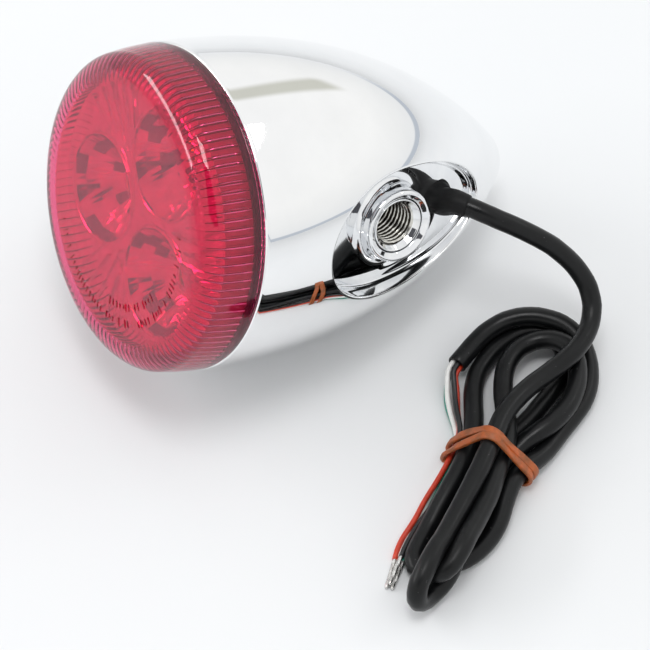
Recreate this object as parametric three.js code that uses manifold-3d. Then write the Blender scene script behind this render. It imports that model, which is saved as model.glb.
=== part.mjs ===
// A bullet tail light for a motorcycle, with its connecting cable wound into a hank.
// Units are millimetres, +Z is up. The light lies on its belly with the lens raised:
// the lens looks towards -X, the mount recess towards -Y, and the hank lies in front of it.
import * as THREE from "three";
import { mergeVertices } from "three/addons/utils/BufferGeometryUtils.js";
import Module from "manifold-3d";

const wasm = await Module();
wasm.setup();

// ---------------------------------------------------------------- driving dimensions
const GAP = 0.3; // clearance between pieces that touch in the real light
const TURNS = 48; // sides of the large turned shapes

// Housing: a bullet shell, measured along its axis from the rim (0) to the nose.
const RIM_RADIUS = 36.5;
const OGIVE_LENGTH = 92.7; // where the ogive curve would close without its rounded nose
const OGIVE_POWER = 2.4;
const OGIVE_FULLNESS = 0.9;
const NOSE_START = 86; // the rounded nose takes over from the ogive here
const WALL = 2.6;
const RIM_LAND_RADIUS = 31.6; // inner edge of the flat face that carries the gasket
const RIM_LAND_DEPTH = 3;
const TILT = THREE.MathUtils.degToRad(20); // lens raised above the horizontal, as it rests

// Mount recess: an egg-shaped pocket in the side, its floor sloping with the shell.
const MOUNT_RISE = THREE.MathUtils.degToRad(20.5); // how far the mount looks above the horizontal
const MOUNT_AXIAL = 42; // centre of the threaded turret behind the rim
const FLOOR_HEIGHT = 22.5; // floor above the bullet's axis, at the turret
const FLOOR_SLOPE = Math.atan(0.2);
const POCKET_HALF_WIDTH = 14.6;
const POCKET_LENS_REACH = 22; // from the widest station towards the lens
const POCKET_NOSE_REACH = 32;
const POCKET_WIDEST = -3.5; // widest station, from the turret's centre
const POCKET_SIDE = -0.6; // the pocket's middle line, beside the turret's centre
const TURRET_RADIUS = 8.5;
const TURRET_TOP = 28; // the mounting face, above the bullet's axis
const SOCKET_RADIUS = 6.6; // seat of the threaded insert in the turret
const BOSS_RADIUS = 9.4;
const BOSS_BOTTOM = 12;

// Threaded insert, for an M10 x 1.25 stud.
const INSERT_RADIUS = SOCKET_RADIUS - GAP;
const INSERT_TOP = 27.4;
const INSERT_BOTTOM = BOSS_BOTTOM + 2.2;
const THREAD_MINOR_RADIUS = 4.35;
const THREAD_MOUTH_RADIUS = 5.2;

// Cable and its grommet.
const CABLE_RADIUS = 2.25;
const GLAND_AXIAL = 57.5;
const GLAND_SIDE = 2;
const GLAND_HOLE_RADIUS = 3.9;
const GROMMET_TOP = 22.5;
const GROMMET_BOTTOM = 12;

// Lens, gasket and light engine, measured along the axis: negative is in front of the rim.
const LENS_FRONT = -14;
const LENS_FLAT_RADIUS = 28.5;
const LENS_SIDE_RADIUS = 35.35;
const LENS_WAIST_RADIUS = 35.4;
const LENS_FLANGE_RADIUS = 36.4;
const LENS_CORNER_DEPTH = 5;
const LENS_WALL = 2.2;
const GASKET_OUTER = 33.8;
const GASKET_THICKNESS = 2;
const REFLECTOR_FRONT = -7;
const REFLECTOR_RADIUS = 31;
const REFLECTOR_BACK = 3;
const BOWL_COUNT = 3;
const BOWL_ORBIT = 15.8; // bowl centres from the axis
const BOWL_MOUTH_RADIUS = 12.3;
const BOWL_FLOOR_RADIUS = 5;
const BOWL_FLOOR = 1.2;
const BOWL_FIRST = THREE.MathUtils.degToRad(98); // from +Y towards +Z
const POST_ORBIT = 24;
const BOARD_FRONT = REFLECTOR_BACK + 0.4;
const BOARD_THICKNESS = 1.6;
const BOARD_RADIUS = 29;
const SPREADER_FRONT = BOARD_FRONT + BOARD_THICKNESS + GAP;
const SPREADER_THICKNESS = 2;
const SPREADER_RADIUS = 28;
const DRIVER_FRONT = 14;
const DRIVER_OFFSET = 5; // the driver board sits off the axis, away from the mount
const DRIVER_SIZE = [1.6, 24, 30];

// Hank: the cable's turns lie flat on the ground, tied in the middle by a rubber band.
const HANK_CENTRE = [11.3, -70.2];
const HANK_TURN = THREE.MathUtils.degToRad(34.7);
const HANK_HEIGHT = 10.4;
const BAND_HALF_WIDTH = 2.6; // along the hank
const BAND_THICKNESS = 1.1;
const WIRE_RADIUS = 0.65;
const TIP_RADIUS = 0.45;
const TIP_LENGTH = 8;

// ---------------------------------------------------------------- materials
function finish(color, roughness, metalness, extra = {}) {
  return new THREE.MeshStandardMaterial({ color, roughness, metalness, ...extra });
}
const chrome = finish(0xdadde0, 0.05, 1);
const steel = finish(0x8d8c86, 0.35, 1);
const redLens = finish(0xc8102e, 0.05, 0, { transparent: true, opacity: 0.6 });
const blackRubber = finish(0x17181a, 0.6, 0);
const mirrorPlastic = finish(0xe6e6e6, 0.08, 1);
const boardLacquer = finish(0xe9e9e4, 0.5, 0);
const driverLacquer = finish(0x1d5b34, 0.5, 0);
const aluminium = finish(0xb4b6b8, 0.4, 1);
const ledBody = finish(0xf2f0e6, 0.5, 0);
const silicone = finish(0xf6e9b8, 0.15, 0, { transparent: true, opacity: 0.7 });
const ceramic = finish(0xc9b48a, 0.6, 0);
const blackPlastic = finish(0x1b1b1d, 0.45, 0);
const cableSheath = finish(0x1c1d1f, 0.55, 0);
const bandRubber = finish(0xb5521f, 0.6, 0);
const tinned = finish(0xc9c8c4, 0.3, 1);
const insulation = {
  white: finish(0xeeeeea, 0.45, 0),
  black: finish(0x18181a, 0.45, 0),
  red: finish(0xd6311c, 0.45, 0),
  green: finish(0x1f8a70, 0.45, 0),
};

// ---------------------------------------------------------------- shape helpers
const part = new THREE.Group();
const light = new THREE.Group(); // the light in its own axes: +X runs from the rim to the nose
light.rotation.y = TILT;
part.add(light);
const mountFrame = new THREE.Group(); // +Z looks straight out of the threaded hole
mountFrame.rotation.x = Math.PI / 2 - MOUNT_RISE;
light.add(mountFrame);
const hankFrame = new THREE.Group(); // +X runs along the hank, towards its upper loops
hankFrame.position.set(...HANK_CENTRE, 0);
hankFrame.rotation.z = HANK_TURN;
part.add(hankFrame);

function addMesh(parent, name, geometry, material) {
  const mesh = new THREE.Mesh(geometry, material);
  mesh.name = name;
  parent.add(mesh);
  return mesh;
}

// The geometry as a manifold-3d solid.
function solid(geometry) {
  const bare = new THREE.BufferGeometry();
  bare.setAttribute("position", geometry.getAttribute("position"));
  if (geometry.index) bare.setIndex(geometry.index);
  const merged = mergeVertices(bare, 1e-4);
  const vertProperties = new Float32Array(merged.attributes.position.array);
  const triVerts = new Uint32Array(merged.index.array);
  return new wasm.Manifold(new wasm.Mesh({ numProp: 3, vertProperties, triVerts }));
}

// A manifold-3d solid as a geometry.
function geometryOf(body) {
  const mesh = body.getMesh();
  const geometry = new THREE.BufferGeometry();
  geometry.setAttribute("position", new THREE.BufferAttribute(mesh.vertProperties, 3));
  geometry.setIndex(new THREE.BufferAttribute(mesh.triVerts, 1));
  return geometry;
}

// A turned shape about the +X axis, from [axial, radius] points; it closes on itself or on the axis.
function turned(points, sides = TURNS) {
  const profile = points.map(([axial, radius]) => new THREE.Vector2(radius, axial));
  return new THREE.LatheGeometry(profile, sides).rotateZ(-Math.PI / 2);
}

// A ring or disc about +X: from axial position a to b, between two radii.
function ring(a, b, inner, outer, sides = TURNS) {
  if (inner === 0) return turned([[a, 0], [a, outer], [b, outer], [b, 0]], sides);
  return turned([[a, inner], [a, outer], [b, outer], [b, inner], [a, inner]], sides);
}

// The same about the +Z axis, centred on x, y.
function upright(points, x = 0, y = 0, sides = 32) {
  return turned(points, sides).rotateY(-Math.PI / 2).translate(x, y, 0);
}

function onOrbit(geometry, orbit, angle) {
  return geometry.translate(0, orbit * Math.cos(angle), orbit * Math.sin(angle));
}

function circleShape(radius) {
  return new THREE.Shape().absarc(0, 0, radius, 0, 2 * Math.PI, false);
}

// A round bar along a smooth curve through the given points.
function barAlong(points, radius, steps, sides) {
  const curve = new THREE.CatmullRomCurve3(points.map((p) => new THREE.Vector3(...p)), false, "centripetal");
  return new THREE.ExtrudeGeometry(circleShape(radius), {
    steps,
    curveSegments: sides / 2, // a full circle takes twice as many
    bevelEnabled: false,
    extrudePath: curve,
  });
}

// ---------------------------------------------------------------- housing
function ogiveRadius(axial, length = OGIVE_LENGTH, rim = RIM_RADIUS) {
  const share = Math.min(Math.max(axial / length, 0), 1);
  return rim * (1 - share ** OGIVE_POWER) ** OGIVE_FULLNESS;
}

// The outer profile: a small lip radius, the ogive, and a round nose tangent to it.
function housingProfile() {
  const points = [[0, 0], [0, RIM_RADIUS - 0.5], [0.5, RIM_RADIUS]];
  const stations = 15;
  for (let i = 1; i <= stations; i++) {
    const axial = NOSE_START * (i / stations) ** 0.85;
    points.push([axial, ogiveRadius(axial)]);
  }
  const step = 0.01;
  const slope = (ogiveRadius(NOSE_START) - ogiveRadius(NOSE_START - step)) / step;
  const lean = Math.atan(-slope); // angle between the shell's normal and the radial direction
  const noseRadius = ogiveRadius(NOSE_START) / Math.cos(lean);
  const centre = NOSE_START - noseRadius * Math.sin(lean);
  const arcs = 4;
  for (let i = 1; i <= arcs; i++) {
    const turn = lean + ((Math.PI / 2 - lean) * i) / arcs;
    const radius = i === arcs ? 0 : noseRadius * Math.cos(turn);
    points.push([centre + noseRadius * Math.sin(turn), radius]);
  }
  return points;
}

function cavityProfile() {
  const length = OGIVE_LENGTH - 8;
  const points = [[-1, 0], [-1, RIM_LAND_RADIUS], [RIM_LAND_DEPTH, RIM_LAND_RADIUS]];
  const stations = 8;
  for (let i = 0; i <= stations; i++) {
    const axial = RIM_LAND_DEPTH + 2 + (length - RIM_LAND_DEPTH - 4) * (i / stations);
    points.push([axial, ogiveRadius(axial, length, RIM_RADIUS - WALL)]);
  }
  points.push([length - 1, 0]);
  return points;
}

// The recess as a closed block in the mount's frame, grown by a wall's thickness where it is asked for.
function pocketBlock(grow) {
  const outline = new THREE.Shape();
  const lensReach = POCKET_LENS_REACH + grow;
  const noseReach = POCKET_NOSE_REACH + grow;
  const half = POCKET_HALF_WIDTH + grow;
  outline.absellipse(0, 0, noseReach, half, -Math.PI / 2, Math.PI / 2, false);
  outline.absellipse(0, 0, lensReach, half, Math.PI / 2, (3 * Math.PI) / 2, false);
  const block = new THREE.ExtrudeGeometry(outline, { depth: 40, curveSegments: 9, bevelEnabled: false });
  block.translate(POCKET_WIDEST, POCKET_SIDE, -grow);
  block.rotateY(FLOOR_SLOPE);
  block.translate(MOUNT_AXIAL, 0, FLOOR_HEIGHT);
  return block;
}

function inLight(geometry) {
  mountFrame.updateMatrix();
  return geometry.applyMatrix4(mountFrame.matrix);
}

function makeHousing() {
  const outside = solid(turned(housingProfile()));
  const recess = solid(inLight(pocketBlock(0)));
  const turretBlank = solid(
    inLight(upright([[BOSS_BOTTOM, 0], [BOSS_BOTTOM, TURRET_RADIUS], [TURRET_TOP, TURRET_RADIUS], [TURRET_TOP, 0]],
      MOUNT_AXIAL)),
  );
  const cavity = solid(turned(cavityProfile()));
  const recessWall = solid(inLight(pocketBlock(WALL)));
  const boss = solid(
    inLight(upright([[BOSS_BOTTOM, 0], [BOSS_BOTTOM, BOSS_RADIUS], [45, BOSS_RADIUS], [45, 0]], MOUNT_AXIAL)),
  );
  const socket = solid(
    inLight(upright([
      [INSERT_BOTTOM - GAP, 0], [INSERT_BOTTOM - GAP, SOCKET_RADIUS], [TURRET_TOP + 1, SOCKET_RADIUS],
      [TURRET_TOP + 1, 0],
    ], MOUNT_AXIAL)),
  );
  const glandHole = solid(
    inLight(upright([[5, 0], [5, GLAND_HOLE_RADIUS], [34, GLAND_HOLE_RADIUS], [34, 0]], GLAND_AXIAL, GLAND_SIDE)),
  );
  const hollow = cavity.subtract(recessWall).subtract(boss);
  const shell = outside.subtract(recess).add(turretBlank).subtract(hollow).subtract(socket).subtract(glandHole);
  const pieces = shell.decompose();
  return geometryOf(pieces.reduce((a, b) => (a.volume() > b.volume() ? a : b)));
}

// ---------------------------------------------------------------- mount pieces
function makeInsert() {
  const shoulder = INSERT_RADIUS - 0.3;
  return upright([
    [INSERT_BOTTOM, 0], [INSERT_BOTTOM, INSERT_RADIUS], [INSERT_TOP - 0.3, INSERT_RADIUS], [INSERT_TOP, shoulder],
    [INSERT_TOP - (shoulder - THREAD_MOUTH_RADIUS), THREAD_MOUTH_RADIUS],
    [INSERT_TOP - (shoulder - THREAD_MINOR_RADIUS), THREAD_MINOR_RADIUS],
    [INSERT_BOTTOM + 1.5, THREAD_MINOR_RADIUS], [INSERT_BOTTOM + 1.5, 0],
  ], MOUNT_AXIAL);
}

function makeGrommet() {
  const bore = CABLE_RADIUS + GAP;
  const body = GLAND_HOLE_RADIUS - GAP;
  const tip = bore + 0.7;
  return upright([
    [GROMMET_BOTTOM, bore], [GROMMET_BOTTOM, body], [GROMMET_TOP - 3.5, body], [GROMMET_TOP, tip],
    [GROMMET_TOP, bore], [GROMMET_BOTTOM, bore],
  ], GLAND_AXIAL, GLAND_SIDE, 20);
}

// ---------------------------------------------------------------- lens and light engine
function lensCorner(flat, side, front, depth, steps = 4) {
  const points = [];
  for (let i = 0; i <= steps; i++) {
    const turn = (Math.PI / 2) * (i / steps);
    points.push([front + depth - depth * Math.sin(turn), flat + (side - flat) * Math.cos(turn)]);
  }
  return points;
}

function makeLens() {
  const skirt = GASKET_OUTER + GAP;
  const seat = -GAP - GASKET_THICKNESS - GAP;
  const inner = LENS_FRONT + LENS_WALL;
  const outside = lensCorner(LENS_FLAT_RADIUS, LENS_SIDE_RADIUS, LENS_FRONT, LENS_CORNER_DEPTH);
  const inside = lensCorner(
    LENS_FLAT_RADIUS - 0.6, LENS_SIDE_RADIUS - LENS_WALL, inner, LENS_CORNER_DEPTH - 1.2,
  ).reverse();
  return turned([
    [-GAP, skirt], [-GAP, LENS_FLANGE_RADIUS], [-0.9, LENS_FLANGE_RADIUS], [-2, LENS_SIDE_RADIUS + 0.4],
    [-4.2, LENS_WAIST_RADIUS], ...outside, [LENS_FRONT, 0], [inner, 0], ...inside,
    [-4.2, LENS_WAIST_RADIUS - LENS_WALL], [seat, LENS_WAIST_RADIUS - LENS_WALL], [seat, skirt], [-GAP, skirt],
  ].reverse());
}

function bowlAngle(index) {
  return BOWL_FIRST + (index * 2 * Math.PI) / BOWL_COUNT;
}

function postAngle(index) {
  return bowlAngle(index) + Math.PI / BOWL_COUNT;
}

function makeReflector() {
  const skin = 1.4;
  const back = REFLECTOR_BACK;
  let body = solid(turned([
    [REFLECTOR_FRONT, 0], [REFLECTOR_FRONT, REFLECTOR_RADIUS], [back, REFLECTOR_RADIUS],
    [back, REFLECTOR_RADIUS - skin], [REFLECTOR_FRONT + skin, REFLECTOR_RADIUS - skin], [REFLECTOR_FRONT + skin, 0],
  ]));
  let cut = null;
  for (let i = 0; i < BOWL_COUNT; i++) {
    const cup = onOrbit(turned([
      [REFLECTOR_FRONT + 0.2, 0], [REFLECTOR_FRONT + 0.2, BOWL_MOUTH_RADIUS + skin],
      [BOWL_FLOOR + skin, BOWL_FLOOR_RADIUS + skin], [BOWL_FLOOR + skin, 0],
    ], 28), BOWL_ORBIT, bowlAngle(i));
    const bowl = onOrbit(turned([
      [REFLECTOR_FRONT - 1, 0], [REFLECTOR_FRONT - 1, BOWL_MOUTH_RADIUS + 0.9],
      [BOWL_FLOOR, BOWL_FLOOR_RADIUS], [BOWL_FLOOR, 3.6], [back + 1, 3.6], [back + 1, 0],
    ], 28), BOWL_ORBIT, bowlAngle(i));
    const post = onOrbit(ring(REFLECTOR_FRONT + 0.5, back, 0, 3, 16), POST_ORBIT, postAngle(i));
    const pilot = onOrbit(ring(-3, back + 1, 0, 1.6, 12), POST_ORBIT, postAngle(i));
    body = body.add(solid(cup)).add(solid(post)).subtract(solid(pilot));
    cut = cut ? cut.add(solid(bowl)) : solid(bowl);
  }
  return geometryOf(body.subtract(cut));
}

// A round plate with the three screw holes, and the driver's spacer holes if asked for.
function drilledDisc(front, thickness, radius) {
  let body = solid(ring(front, front + thickness, 0, radius));
  for (let i = 0; i < BOWL_COUNT; i++) {
    const hole = onOrbit(ring(front - 1, front + thickness + 1, 0, 1.6, 12), POST_ORBIT, postAngle(i));
    body = body.subtract(solid(hole));
  }
  return body;
}

function makeSpreader() {
  let body = drilledDisc(SPREADER_FRONT, SPREADER_THICKNESS, SPREADER_RADIUS);
  const fin = 3.2;
  for (const offset of [-15, -10, 10, 15]) {
    const rib = new THREE.BoxGeometry(fin, 1.2, 30);
    rib.translate(SPREADER_FRONT + SPREADER_THICKNESS + fin / 2 - 0.5, offset, 0);
    body = body.add(solid(rib));
  }
  return geometryOf(body);
}

function makeBoardScrew(index) {
  const head = SPREADER_FRONT + SPREADER_THICKNESS + GAP;
  const screw = turned([[-2, 0], [-2, 1.25], [head, 1.25], [head, 2.8], [head + 1, 2.8], [head + 1.9, 1.8],
    [head + 1.9, 0]], 14);
  return onOrbit(screw, POST_ORBIT, postAngle(index));
}

function addLightEngine() {
  addMesh(light, "lens", makeLens(), redLens);
  addMesh(light, "lens_gasket", ring(-GAP - GASKET_THICKNESS, -GAP, RIM_LAND_RADIUS + 0.2, GASKET_OUTER), blackRubber);
  addMesh(light, "reflector", makeReflector(), mirrorPlastic);
  const board = geometryOf(drilledDisc(BOARD_FRONT, BOARD_THICKNESS, BOARD_RADIUS));
  addMesh(light, "led_board", board, boardLacquer);
  addMesh(light, "heat_spreader", makeSpreader(), aluminium);
  const packageThickness = 1;
  const packageBack = BOARD_FRONT - GAP;
  for (let i = 0; i < BOWL_COUNT; i++) {
    const base = new THREE.BoxGeometry(packageThickness, 4.2, 4.2).translate(packageBack - packageThickness / 2, 0, 0);
    addMesh(light, `led_package_${i + 1}`, onOrbit(base, BOWL_ORBIT, bowlAngle(i)), ledBody);
    const foot = packageBack - packageThickness - GAP;
    const dome = turned([[foot - 1.7, 0], [foot - 1.5, 0.8], [foot - 0.9, 1.45], [foot, 1.7], [foot, 0]], 16);
    addMesh(light, `led_dome_${i + 1}`, onOrbit(dome, BOWL_ORBIT, bowlAngle(i)), silicone);
    addMesh(light, `board_screw_${i + 1}`, makeBoardScrew(i), steel);
  }
}

function addDriver() {
  const [thickness, width, height] = DRIVER_SIZE;
  const rear = DRIVER_FRONT + thickness + GAP;
  const driver = new THREE.BoxGeometry(thickness, width, height);
  driver.translate(DRIVER_FRONT + thickness / 2, DRIVER_OFFSET, -4);
  addMesh(light, "driver_board", driver, driverLacquer);
  const spacerFront = SPREADER_FRONT + SPREADER_THICKNESS + GAP;
  for (const [i, z] of [-15, 7].entries()) {
    const spacer = ring(spacerFront, DRIVER_FRONT - GAP, 0, 2, 12).translate(0, 5, z);
    addMesh(light, `board_spacer_${i + 1}`, spacer, blackPlastic);
  }
  for (const [i, y] of [-2, 4].entries()) {
    const body = new THREE.CylinderGeometry(1.6, 1.6, 9, 12).rotateX(Math.PI / 2);
    addMesh(light, `ballast_resistor_${i + 1}`, body.translate(rear + 1.6, y, -13), ceramic);
  }
  const diode = new THREE.CylinderGeometry(1.4, 1.4, 5.2, 12).rotateX(Math.PI / 2);
  addMesh(light, "polarity_diode", diode.translate(rear + 1.4, 10, -10), blackPlastic);
  addMesh(light, "smoothing_capacitor", ring(rear, rear + 8, 0, 3.2, 16).translate(0, 9, 3), blackPlastic);
}

// ---------------------------------------------------------------- cable inside the housing
const INNER_CABLE = [
  [GLAND_AXIAL, GLAND_SIDE, GROMMET_TOP - GAP], [GLAND_AXIAL, GLAND_SIDE, 18], [GLAND_AXIAL, GLAND_SIDE, 13],
  [GLAND_AXIAL - 1, GLAND_SIDE - 0.5, 8.5], [GLAND_AXIAL - 4, GLAND_SIDE - 2.5, 4.5], [GLAND_AXIAL - 9, -3, 2],
  [GLAND_AXIAL - 14, -4, 1.5], [GLAND_AXIAL - 18, -4, 1.5], [GLAND_AXIAL - 22, -4, 1.5],
];

function addInnerCable() {
  addMesh(mountFrame, "cable_inner", barAlong(INNER_CABLE, CABLE_RADIUS, 16, 10), cableSheath);
  const end = INNER_CABLE.at(-1);
  const bore = CABLE_RADIUS + GAP;
  const tie = ring(end[0] + 1, end[0] + 4, bore, bore + 1.1, 20).translate(0, end[1], end[2]);
  const lock = new THREE.BoxGeometry(4, 4, 3.4).translate(end[0] + 2.5, end[1], end[2] - bore - 2.2);
  addMesh(mountFrame, "cable_tie", geometryOf(solid(tie).add(solid(lock))), blackPlastic);
  const fan = 1.9; // how far the cores spread on their way to the driver board
  Object.keys(insulation).forEach((name, i) => {
    const turn = (i * Math.PI) / 2 + Math.PI / 4;
    const side = 1.15 * Math.cos(turn);
    const height = 1.15 * Math.sin(turn);
    const core = [
      [end[0] - GAP, end[1] + side, end[2] + height], [end[0] - 4, end[1] + side, end[2] + height],
      [end[0] - 11, end[1] + 1 + fan * side, end[2] + 1 + fan * height],
      [DRIVER_FRONT + 5, end[1] + fan * side, end[2] + fan * height],
      [DRIVER_FRONT + DRIVER_SIZE[0] + GAP, end[1] + fan * side, end[2] + fan * height],
    ];
    addMesh(mountFrame, `lead_${name}`, barAlong(core, WIRE_RADIUS, 10, 8), insulation[name]);
  });
}

// ---------------------------------------------------------------- free cable, hank, band and wire ends
// The free stretch from the grommet down to the hank, in the part's own axes.
const FREE_CABLE = [
  [27, -20.7, 33.9], [27.7, -22.6, 34.7], [29.1, -24.5, 35.2], [31, -26.8, 35.1], [33.1, -29.1, 34.3], [35.6, -31.5, 33.2],
  [38.1, -33.7, 31.7], [40.6, -35.6, 30], [43.1, -37.5, 28.1], [45.3, -39.2, 25.8], [47.4, -40.9, 23.4],
  [49, -42.8, 20.8], [50.1, -45, 18.1], [50.3, -47.4, 15.5], [49.3, -50.2, 13.3], [48.3, -51.6, 12.9],
];

// Outer shape of the wound turns, along and across the hank, from the sheath's cut end round to it again.
const HANK_OUTLINE = [
  [19.4, 15.5], [14, 13.6], [8, 10.5], [4, 8.5], [0, 8], [-5, 7.8], [-12, 7.6], [-26, 7.4], [-36, 7.6], [-41.5, 4.5],
  [-43, 0.5], [-40, -4], [-32, -6.5], [-22, -9.4], [-11, -10], [-3.5, -9], [3.5, -9], [15, -12], [26, -12.6],
  [38, -11], [45.5, -5.5], [44, 2], [41, 11], [33.5, 18], [26, 20.2], [19.4, 20.2],
];

// The four cores leave the sheath's cut end, pass under the band and end in tinned tips.
const WIRE_ROUTES = {
  white: [[19.01, 16.98, 4.55], [16.29, 16.3, 3.95], [12.4, 14.55, 2.95], [8.43, 12.17, 2.25],
    [4.3, 9.8, 2.1], [0.08, 9.05, 2.1], [-3.98, 8.95, 2.1], [-7.98, 8.85, 1.25], [-12.99, 8.75, 0.8],
    [-24.01, 8.65, 0.75], [-30.05, 9.05, 0.75]],
  black: [[18.59, 18.62, 4.55], [15.71, 17.9, 3.95], [11.6, 16.05, 2.95], [7.57, 13.63, 2.25],
    [3.7, 11.4, 2.1], [-0.08, 10.75, 2.1], [-4.02, 10.65, 2.1], [-8.02, 10.55, 1.25],
    [-13.01, 10.45, 0.8], [-23.99, 10.35, 0.75], [-31.95, 10.75, 0.75]],
  red: [[18.59, 18.62, 6.25], [15.71, 17.9, 5.65], [11.6, 16.05, 4.65], [7.57, 13.63, 3.95],
    [3.7, 11.4, 3.8], [-0.08, 10.75, 3.8], [-4.02, 10.65, 3.8], [-8.02, 10.55, 2.95],
    [-13.01, 10.45, 2.5], [-23.99, 10.35, 2.45], [-32.95, 10.75, 2.45]],
  green: [[19.01, 16.98, 6.25], [16.29, 16.3, 5.65], [12.4, 14.55, 4.65], [8.43, 12.17, 3.95],
    [4.3, 9.8, 3.8], [0.08, 9.05, 3.8], [-3.98, 8.95, 3.8], [-7.98, 8.85, 2.95], [-12.99, 8.75, 2.5],
    [-24.01, 8.65, 2.45], [-29.05, 9.05, 2.45]],
};

function makeHank() {
  const outline = new THREE.CatmullRomCurve3(HANK_OUTLINE.map(([u, v]) => new THREE.Vector3(u, v, 0)));
  const shape = new THREE.Shape(outline.getPoints(60).map((p) => new THREE.Vector2(p.x, p.y)));
  const turns = solid(new THREE.ExtrudeGeometry(shape, { depth: HANK_HEIGHT, bevelEnabled: false }));
  const slot = new THREE.BoxGeometry(2 * BAND_HALF_WIDTH + 2 * GAP, 60, 2 * (BAND_THICKNESS + GAP));
  return geometryOf(turns.subtract(solid(slot)));
}

// The band round the hank and the four cores: one flat loop with rounded ends.
function makeBand() {
  const left = 12.2;
  const right = -10;
  const top = HANK_HEIGHT + GAP;
  const loop = new THREE.Shape();
  const corner = 1.5;
  const t = BAND_THICKNESS;
  roundedRectangle(loop, right - t, 0, left + t, top + t, corner + t);
  const hole = new THREE.Path();
  roundedRectangle(hole, right, t, left, top, corner);
  loop.holes.push(hole);
  const band = new THREE.ExtrudeGeometry(loop, { depth: 2 * BAND_HALF_WIDTH, curveSegments: 5, bevelEnabled: false });
  band.translate(0, 0, -BAND_HALF_WIDTH);
  band.rotateX(Math.PI / 2); // the loop's height runs along +Z
  band.rotateZ(Math.PI / 2); // and its width across the hank
  return band;
}

function roundedRectangle(path, x0, y0, x1, y1, r) {
  path.moveTo(x0 + r, y0);
  path.lineTo(x1 - r, y0);
  path.absarc(x1 - r, y0 + r, r, -Math.PI / 2, 0, false);
  path.lineTo(x1, y1 - r);
  path.absarc(x1 - r, y1 - r, r, 0, Math.PI / 2, false);
  path.lineTo(x0 + r, y1);
  path.absarc(x0 + r, y1 - r, r, Math.PI / 2, Math.PI, false);
  path.lineTo(x0, y0 + r);
  path.absarc(x0 + r, y0 + r, r, Math.PI, (3 * Math.PI) / 2, false);
}

function addCord() {
  addMesh(part, "cable", barAlong(FREE_CABLE, CABLE_RADIUS, 30, 10), cableSheath);
  addMesh(hankFrame, "cable_hank", makeHank(), cableSheath);
  addMesh(hankFrame, "rubber_band", makeBand(), bandRubber);
  for (const [name, route] of Object.entries(WIRE_ROUTES)) {
    addMesh(hankFrame, `wire_${name}`, barAlong(route, WIRE_RADIUS, 20, 8), insulation[name]);
    const [u, v, z] = route.at(-1);
    const tip = ring(u - GAP - TIP_LENGTH, u - GAP, 0, TIP_RADIUS, 8).translate(0, v, z);
    addMesh(hankFrame, `wire_tip_${name}`, tip, tinned);
  }
}

// ---------------------------------------------------------------- assembly
addMesh(light, "housing", makeHousing(), chrome);
addMesh(mountFrame, "threaded_insert", makeInsert(), steel);
addMesh(mountFrame, "cable_grommet", makeGrommet(), blackRubber);
addLightEngine();
addDriver();
addInnerCable();

// The light stands with its lowest point at height 0 and its own box centred on the origin.
part.updateMatrixWorld(true);
const box = new THREE.Box3().setFromObject(light, true);
light.position.set(-(box.min.x + box.max.x) / 2, -(box.min.y + box.max.y) / 2, -box.min.z);
addCord();
part.updateMatrixWorld(true);

export default part;
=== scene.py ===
import math

import bmesh
import bpy
import numpy as np
from mathutils import Matrix, Vector
from mathutils.geometry import delaunay_2d_cdt


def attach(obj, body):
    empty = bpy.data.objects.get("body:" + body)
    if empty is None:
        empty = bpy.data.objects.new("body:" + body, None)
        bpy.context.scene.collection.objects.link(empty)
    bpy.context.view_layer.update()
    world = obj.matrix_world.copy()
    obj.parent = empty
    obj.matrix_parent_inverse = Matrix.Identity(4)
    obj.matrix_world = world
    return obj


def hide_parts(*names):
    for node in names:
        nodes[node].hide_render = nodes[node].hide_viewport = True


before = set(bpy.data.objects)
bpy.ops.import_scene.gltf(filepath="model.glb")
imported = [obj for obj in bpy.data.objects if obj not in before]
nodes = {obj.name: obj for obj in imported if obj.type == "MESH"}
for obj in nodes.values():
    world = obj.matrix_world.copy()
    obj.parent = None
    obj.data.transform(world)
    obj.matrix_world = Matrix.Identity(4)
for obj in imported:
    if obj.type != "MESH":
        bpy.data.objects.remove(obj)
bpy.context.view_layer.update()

MM = 0.001
FULL_TURN = 2 * math.pi

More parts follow.
